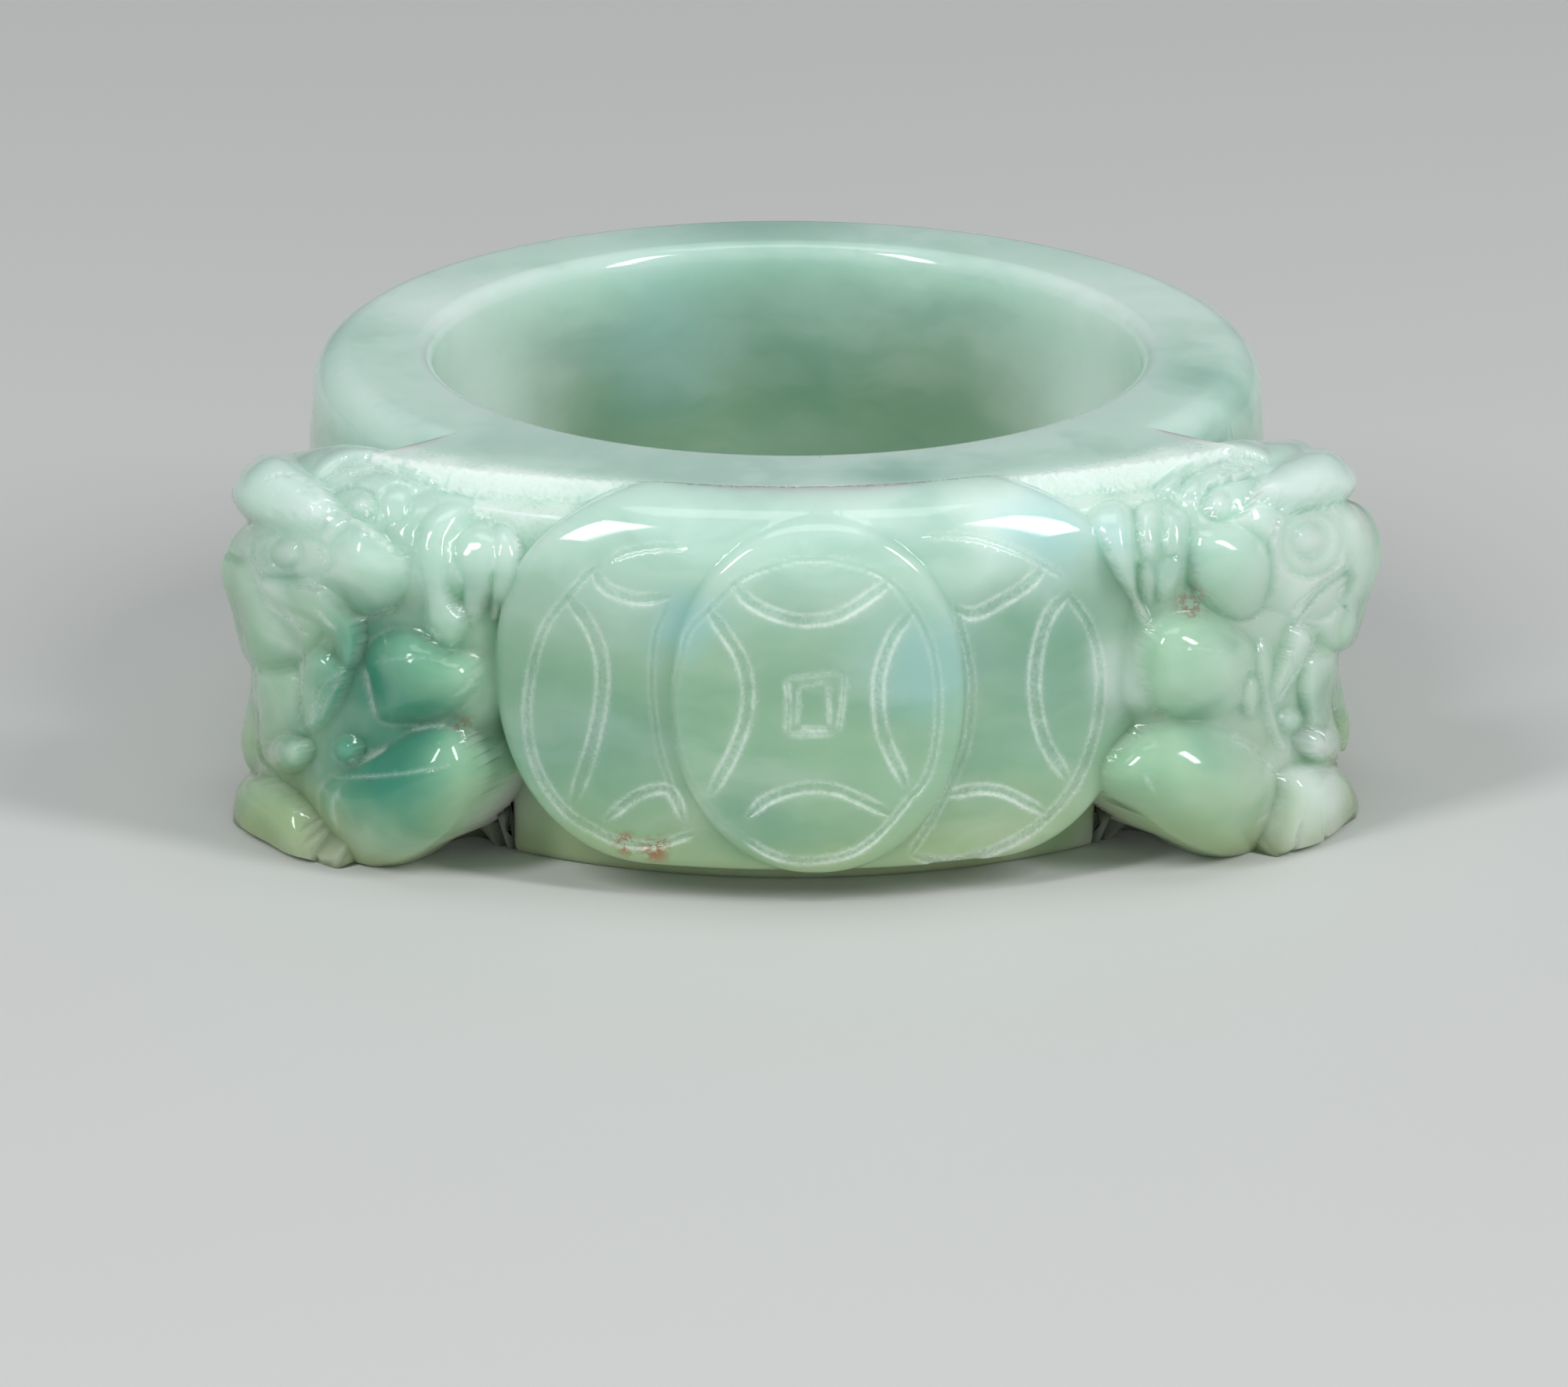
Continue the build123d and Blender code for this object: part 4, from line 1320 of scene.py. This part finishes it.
# %% Start the jade and bend its space
jade = bpy.data.materials.new("jade")
tree = nodes_of(jade)
place = tree.nodes.new("ShaderNodeTexCoord").outputs["Object"]
shader = add(tree, "ShaderNodeBsdfPrincipled", Roughness=0.1, IOR=1.66)
shader.inputs["Specular IOR Level"].default_value = 0.35
output = tree.nodes.new("ShaderNodeOutputMaterial")
tree.links.new(shader.outputs["BSDF"], output.inputs["Surface"])

bend = add(tree, "ShaderNodeTexNoise", Scale=1 / (2.4 * MM), Detail=3.0, Roughness=0.5)
tree.links.new(place, bend.inputs["Vector"])
centred = add(tree, "ShaderNodeVectorMath", operation="SUBTRACT")
tree.links.new(bend.outputs["Color"], centred.inputs[0])
centred.inputs[1].default_value = (0.5, 0.5, 0.5)
shift = add(tree, "ShaderNodeVectorMath", operation="SCALE")
tree.links.new(centred.outputs["Vector"], shift.inputs[0])
shift.inputs["Scale"].default_value = 2.2 * MM
bent = add(tree, "ShaderNodeVectorMath", operation="ADD")
tree.links.new(place, bent.inputs[0])
tree.links.new(shift.outputs["Vector"], bent.inputs[1])
bent = bent.outputs["Vector"]

# %% [markdown]
# The colour starts from the height: mint above, green in the middle and moss at the foot. Streaks of
# deep green and milky clouds lie over it, flattened as in the real block, and then the patches.

# %% Clouds and patches of colour
height_node = tree.nodes.new("ShaderNodeSeparateXYZ")
tree.links.new(bent, height_node.inputs[0])
upper = ramp(tree, height_node.outputs["Z"], 0.5 * MM, 5.2 * MM)
colour = mix_colour(tree, upper, GREEN, MINT)
lower = ramp(tree, height_node.outputs["Z"], -5.4 * MM, -1.2 * MM, 0.85, 0.0)
colour = mix_colour(tree, lower, colour, MOSS)
streaks = add(tree, "ShaderNodeMapping")
streaks.inputs["Scale"].default_value = (1, 1, 3)
tree.links.new(bent, streaks.inputs["Vector"])
streak = ramp(tree, cloud(tree, streaks.outputs["Vector"], 4.2, 3, 0.5), 0.42, 0.72, 0.0, 0.22)
colour = mix_colour(tree, streak, colour, DEEP_AND_PAINTED_SHADE)
milk = ramp(tree, cloud(tree, streaks.outputs["Vector"], 5.5, 3, 0.5), 0.45, 0.75, 0.0, 0.2)
colour = mix_colour(tree, milk, colour, WHITE)
# The pale balls on the bore's sides are painted light, and the deep ball at the back of the top is
# painted shade.
colour = mix_colour(tree, patch_share(tree, bent, patches["pale"]), colour, PALE_AND_PAINTED_LIGHT)
colour = mix_colour(tree, patch_share(tree, bent, patches["blue"]), colour, BLUE)
colour = mix_colour(tree, patch_share(tree, bent, patches["deep"]), colour, DEEP_AND_PAINTED_SHADE)

# %% [markdown]
# Where the tool left the stone rough it is white and dull, in grains, and a little of the rust of
# old dirt sits in the grooves. The white in the creases between forms is partly painted light.
# Light goes about three millimetres deep, most of all green light, which subsurface scattering gives.

# %% Frost, rust and depth
SCATTER_MM = 3.0
frost_node = add(tree, "ShaderNodeAttribute", attribute_name="frost")
grain = ramp(tree, cloud(tree, place, 0.12, 2), 0.35, 0.6, 0.65, 1.0)
wander = ramp(tree, cloud(tree, place, 1.1, 2), 0.35, 0.6, 0.55, 1.0)
frost_share = calc(tree, "MULTIPLY", calc(tree, "MULTIPLY", frost_node.outputs["Fac"], grain), wander)
# Frost whitens the colour, and in the creases between forms this white is partly painted light.
colour = mix_colour(tree, calc(tree, "MULTIPLY", frost_share, 0.9), colour, WHITE)
speck = ramp(tree, cloud(tree, place, 0.28, 4, 0.7), 0.44, 0.54)
rust = calc(tree, "MULTIPLY", patch_share(tree, place, patches["rust"]), speck)
colour = mix_colour(tree, rust, colour, RUST)
tree.links.new(colour, shader.inputs["Base Color"])
rough = calc(tree, "ADD", 0.09, calc(tree, "MULTIPLY", frost_share, 0.6))
tree.links.new(rough, shader.inputs["Roughness"])
shader.inputs["Subsurface Weight"].default_value = 0.9
shader.inputs["Subsurface Radius"].default_value = (0.75, 1.0, 0.85)
shader.inputs["Subsurface Scale"].default_value = SCATTER_MM * MM
bump = add(tree, "ShaderNodeBump", Strength=1.0, Distance=0.006 * MM)
tree.links.new(calc(tree, "MULTIPLY", cloud(tree, place, 0.09, 2), frost_share), bump.inputs["Height"])
tree.links.new(bump.outputs["Normal"], shader.inputs["Normal"])
stone.data.materials.append(jade)
print("jade:", len(tree.nodes), "nodes")

# %% [markdown]
# ## Table, light and camera
# The ring lies on a plain pale table under a large soft light, with two narrower lights at the sides
# that draw the small bright marks on polished stone, and a low one in front that only fills the
# shadows. The camera stands where the photograph's camera stood: a long lens, 18.4 degrees above the
# table and a little to the left of the front.

# %% Table
def plain_material(name, colour, roughness):
    """One even colour, for the table alone."""
    material = bpy.data.materials.new(name)
    tree = nodes_of(material)
    shader = add(tree, "ShaderNodeBsdfPrincipled", Roughness=roughness)
    shader.inputs["Base Color"].default_value = colour
    output = tree.nodes.new("ShaderNodeOutputMaterial")
    tree.links.new(shader.outputs["BSDF"], output.inputs["Surface"])
    return material


TABLE_HALF = 1.5
floor_mesh = bpy.data.meshes.new("table")
floor_z = cad_box[0][2]
corners = [(-TABLE_HALF, -TABLE_HALF, floor_z), (TABLE_HALF, -TABLE_HALF, floor_z),
           (TABLE_HALF, TABLE_HALF, floor_z), (-TABLE_HALF, TABLE_HALF, floor_z)]
floor_mesh.from_pydata(corners, [], [(0, 1, 2, 3)])
table = bpy.data.objects.new("table", floor_mesh)
bpy.context.scene.collection.objects.link(table)
table.data.materials.append(plain_material("table_paper", (0.62, 0.63, 0.62, 1), 0.6))
print("the table lies at", round(floor_z / MM, 2), "mm")

# %% Lights
def soft_light(name, place, size, power, mirrored=True):
    """Soft lamp that looks at the ring. One that isn't mirrored only fills shadows."""
    lamp = bpy.data.lights.new(name, "AREA")
    lamp.shape = "RECTANGLE"
    lamp.size, lamp.size_y = size
    lamp.energy = power
    holder = bpy.data.objects.new(name, lamp)
    holder.location = place
    holder.visible_glossy = mirrored
    holder.rotation_euler = (-Vector(place)).to_track_quat("-Z", "Y").to_euler()
    bpy.context.scene.collection.objects.link(holder)


soft_light("key_above", (0.0, 0.02, 0.33), (0.20, 0.12), 0.155)
soft_light("left_strip", (-0.18, -0.15, 0.22), (0.05, 0.18), 0.42)
soft_light("right_strip", (0.20, -0.13, 0.20), (0.05, 0.18), 0.42)
soft_light("front_low", (0.03, -0.30, 0.04), (0.22, 0.05), 0.20, mirrored=False)
world = bpy.data.worlds.new("studio")
world.use_nodes = True
background = world.node_tree.nodes["Background"]
background.inputs["Color"].default_value = (0.80, 0.83, 0.85, 1)
background.inputs["Strength"].default_value = 0.30
bpy.context.scene.world = world
bpy.context.scene.view_settings.view_transform = "Standard"

# %% Camera
FILM_WIDTH = 36


def photo_camera():
    """Camera with the fitted place, axes and lens; its own -Z looks ahead."""
    data = bpy.data.cameras.new("photo_camera")
    data.sensor_width = FILM_WIDTH
    data.lens = LENS_PIXELS / PICTURE_WIDTH * data.sensor_width
    camera = bpy.data.objects.new("photo_camera", data)
    axes = Matrix((CAMERA_RIGHT, CAMERA_UP, -CAMERA_AHEAD)).transposed().to_4x4()
    camera.matrix_world = Matrix.Translation(Vector(CAMERA_PLACE * MM)) @ axes
    bpy.context.scene.collection.objects.link(camera)
    return camera


bpy.context.scene.camera = photo_camera()
print("camera lens:", round(bpy.context.scene.camera.data.lens, 1), "mm")
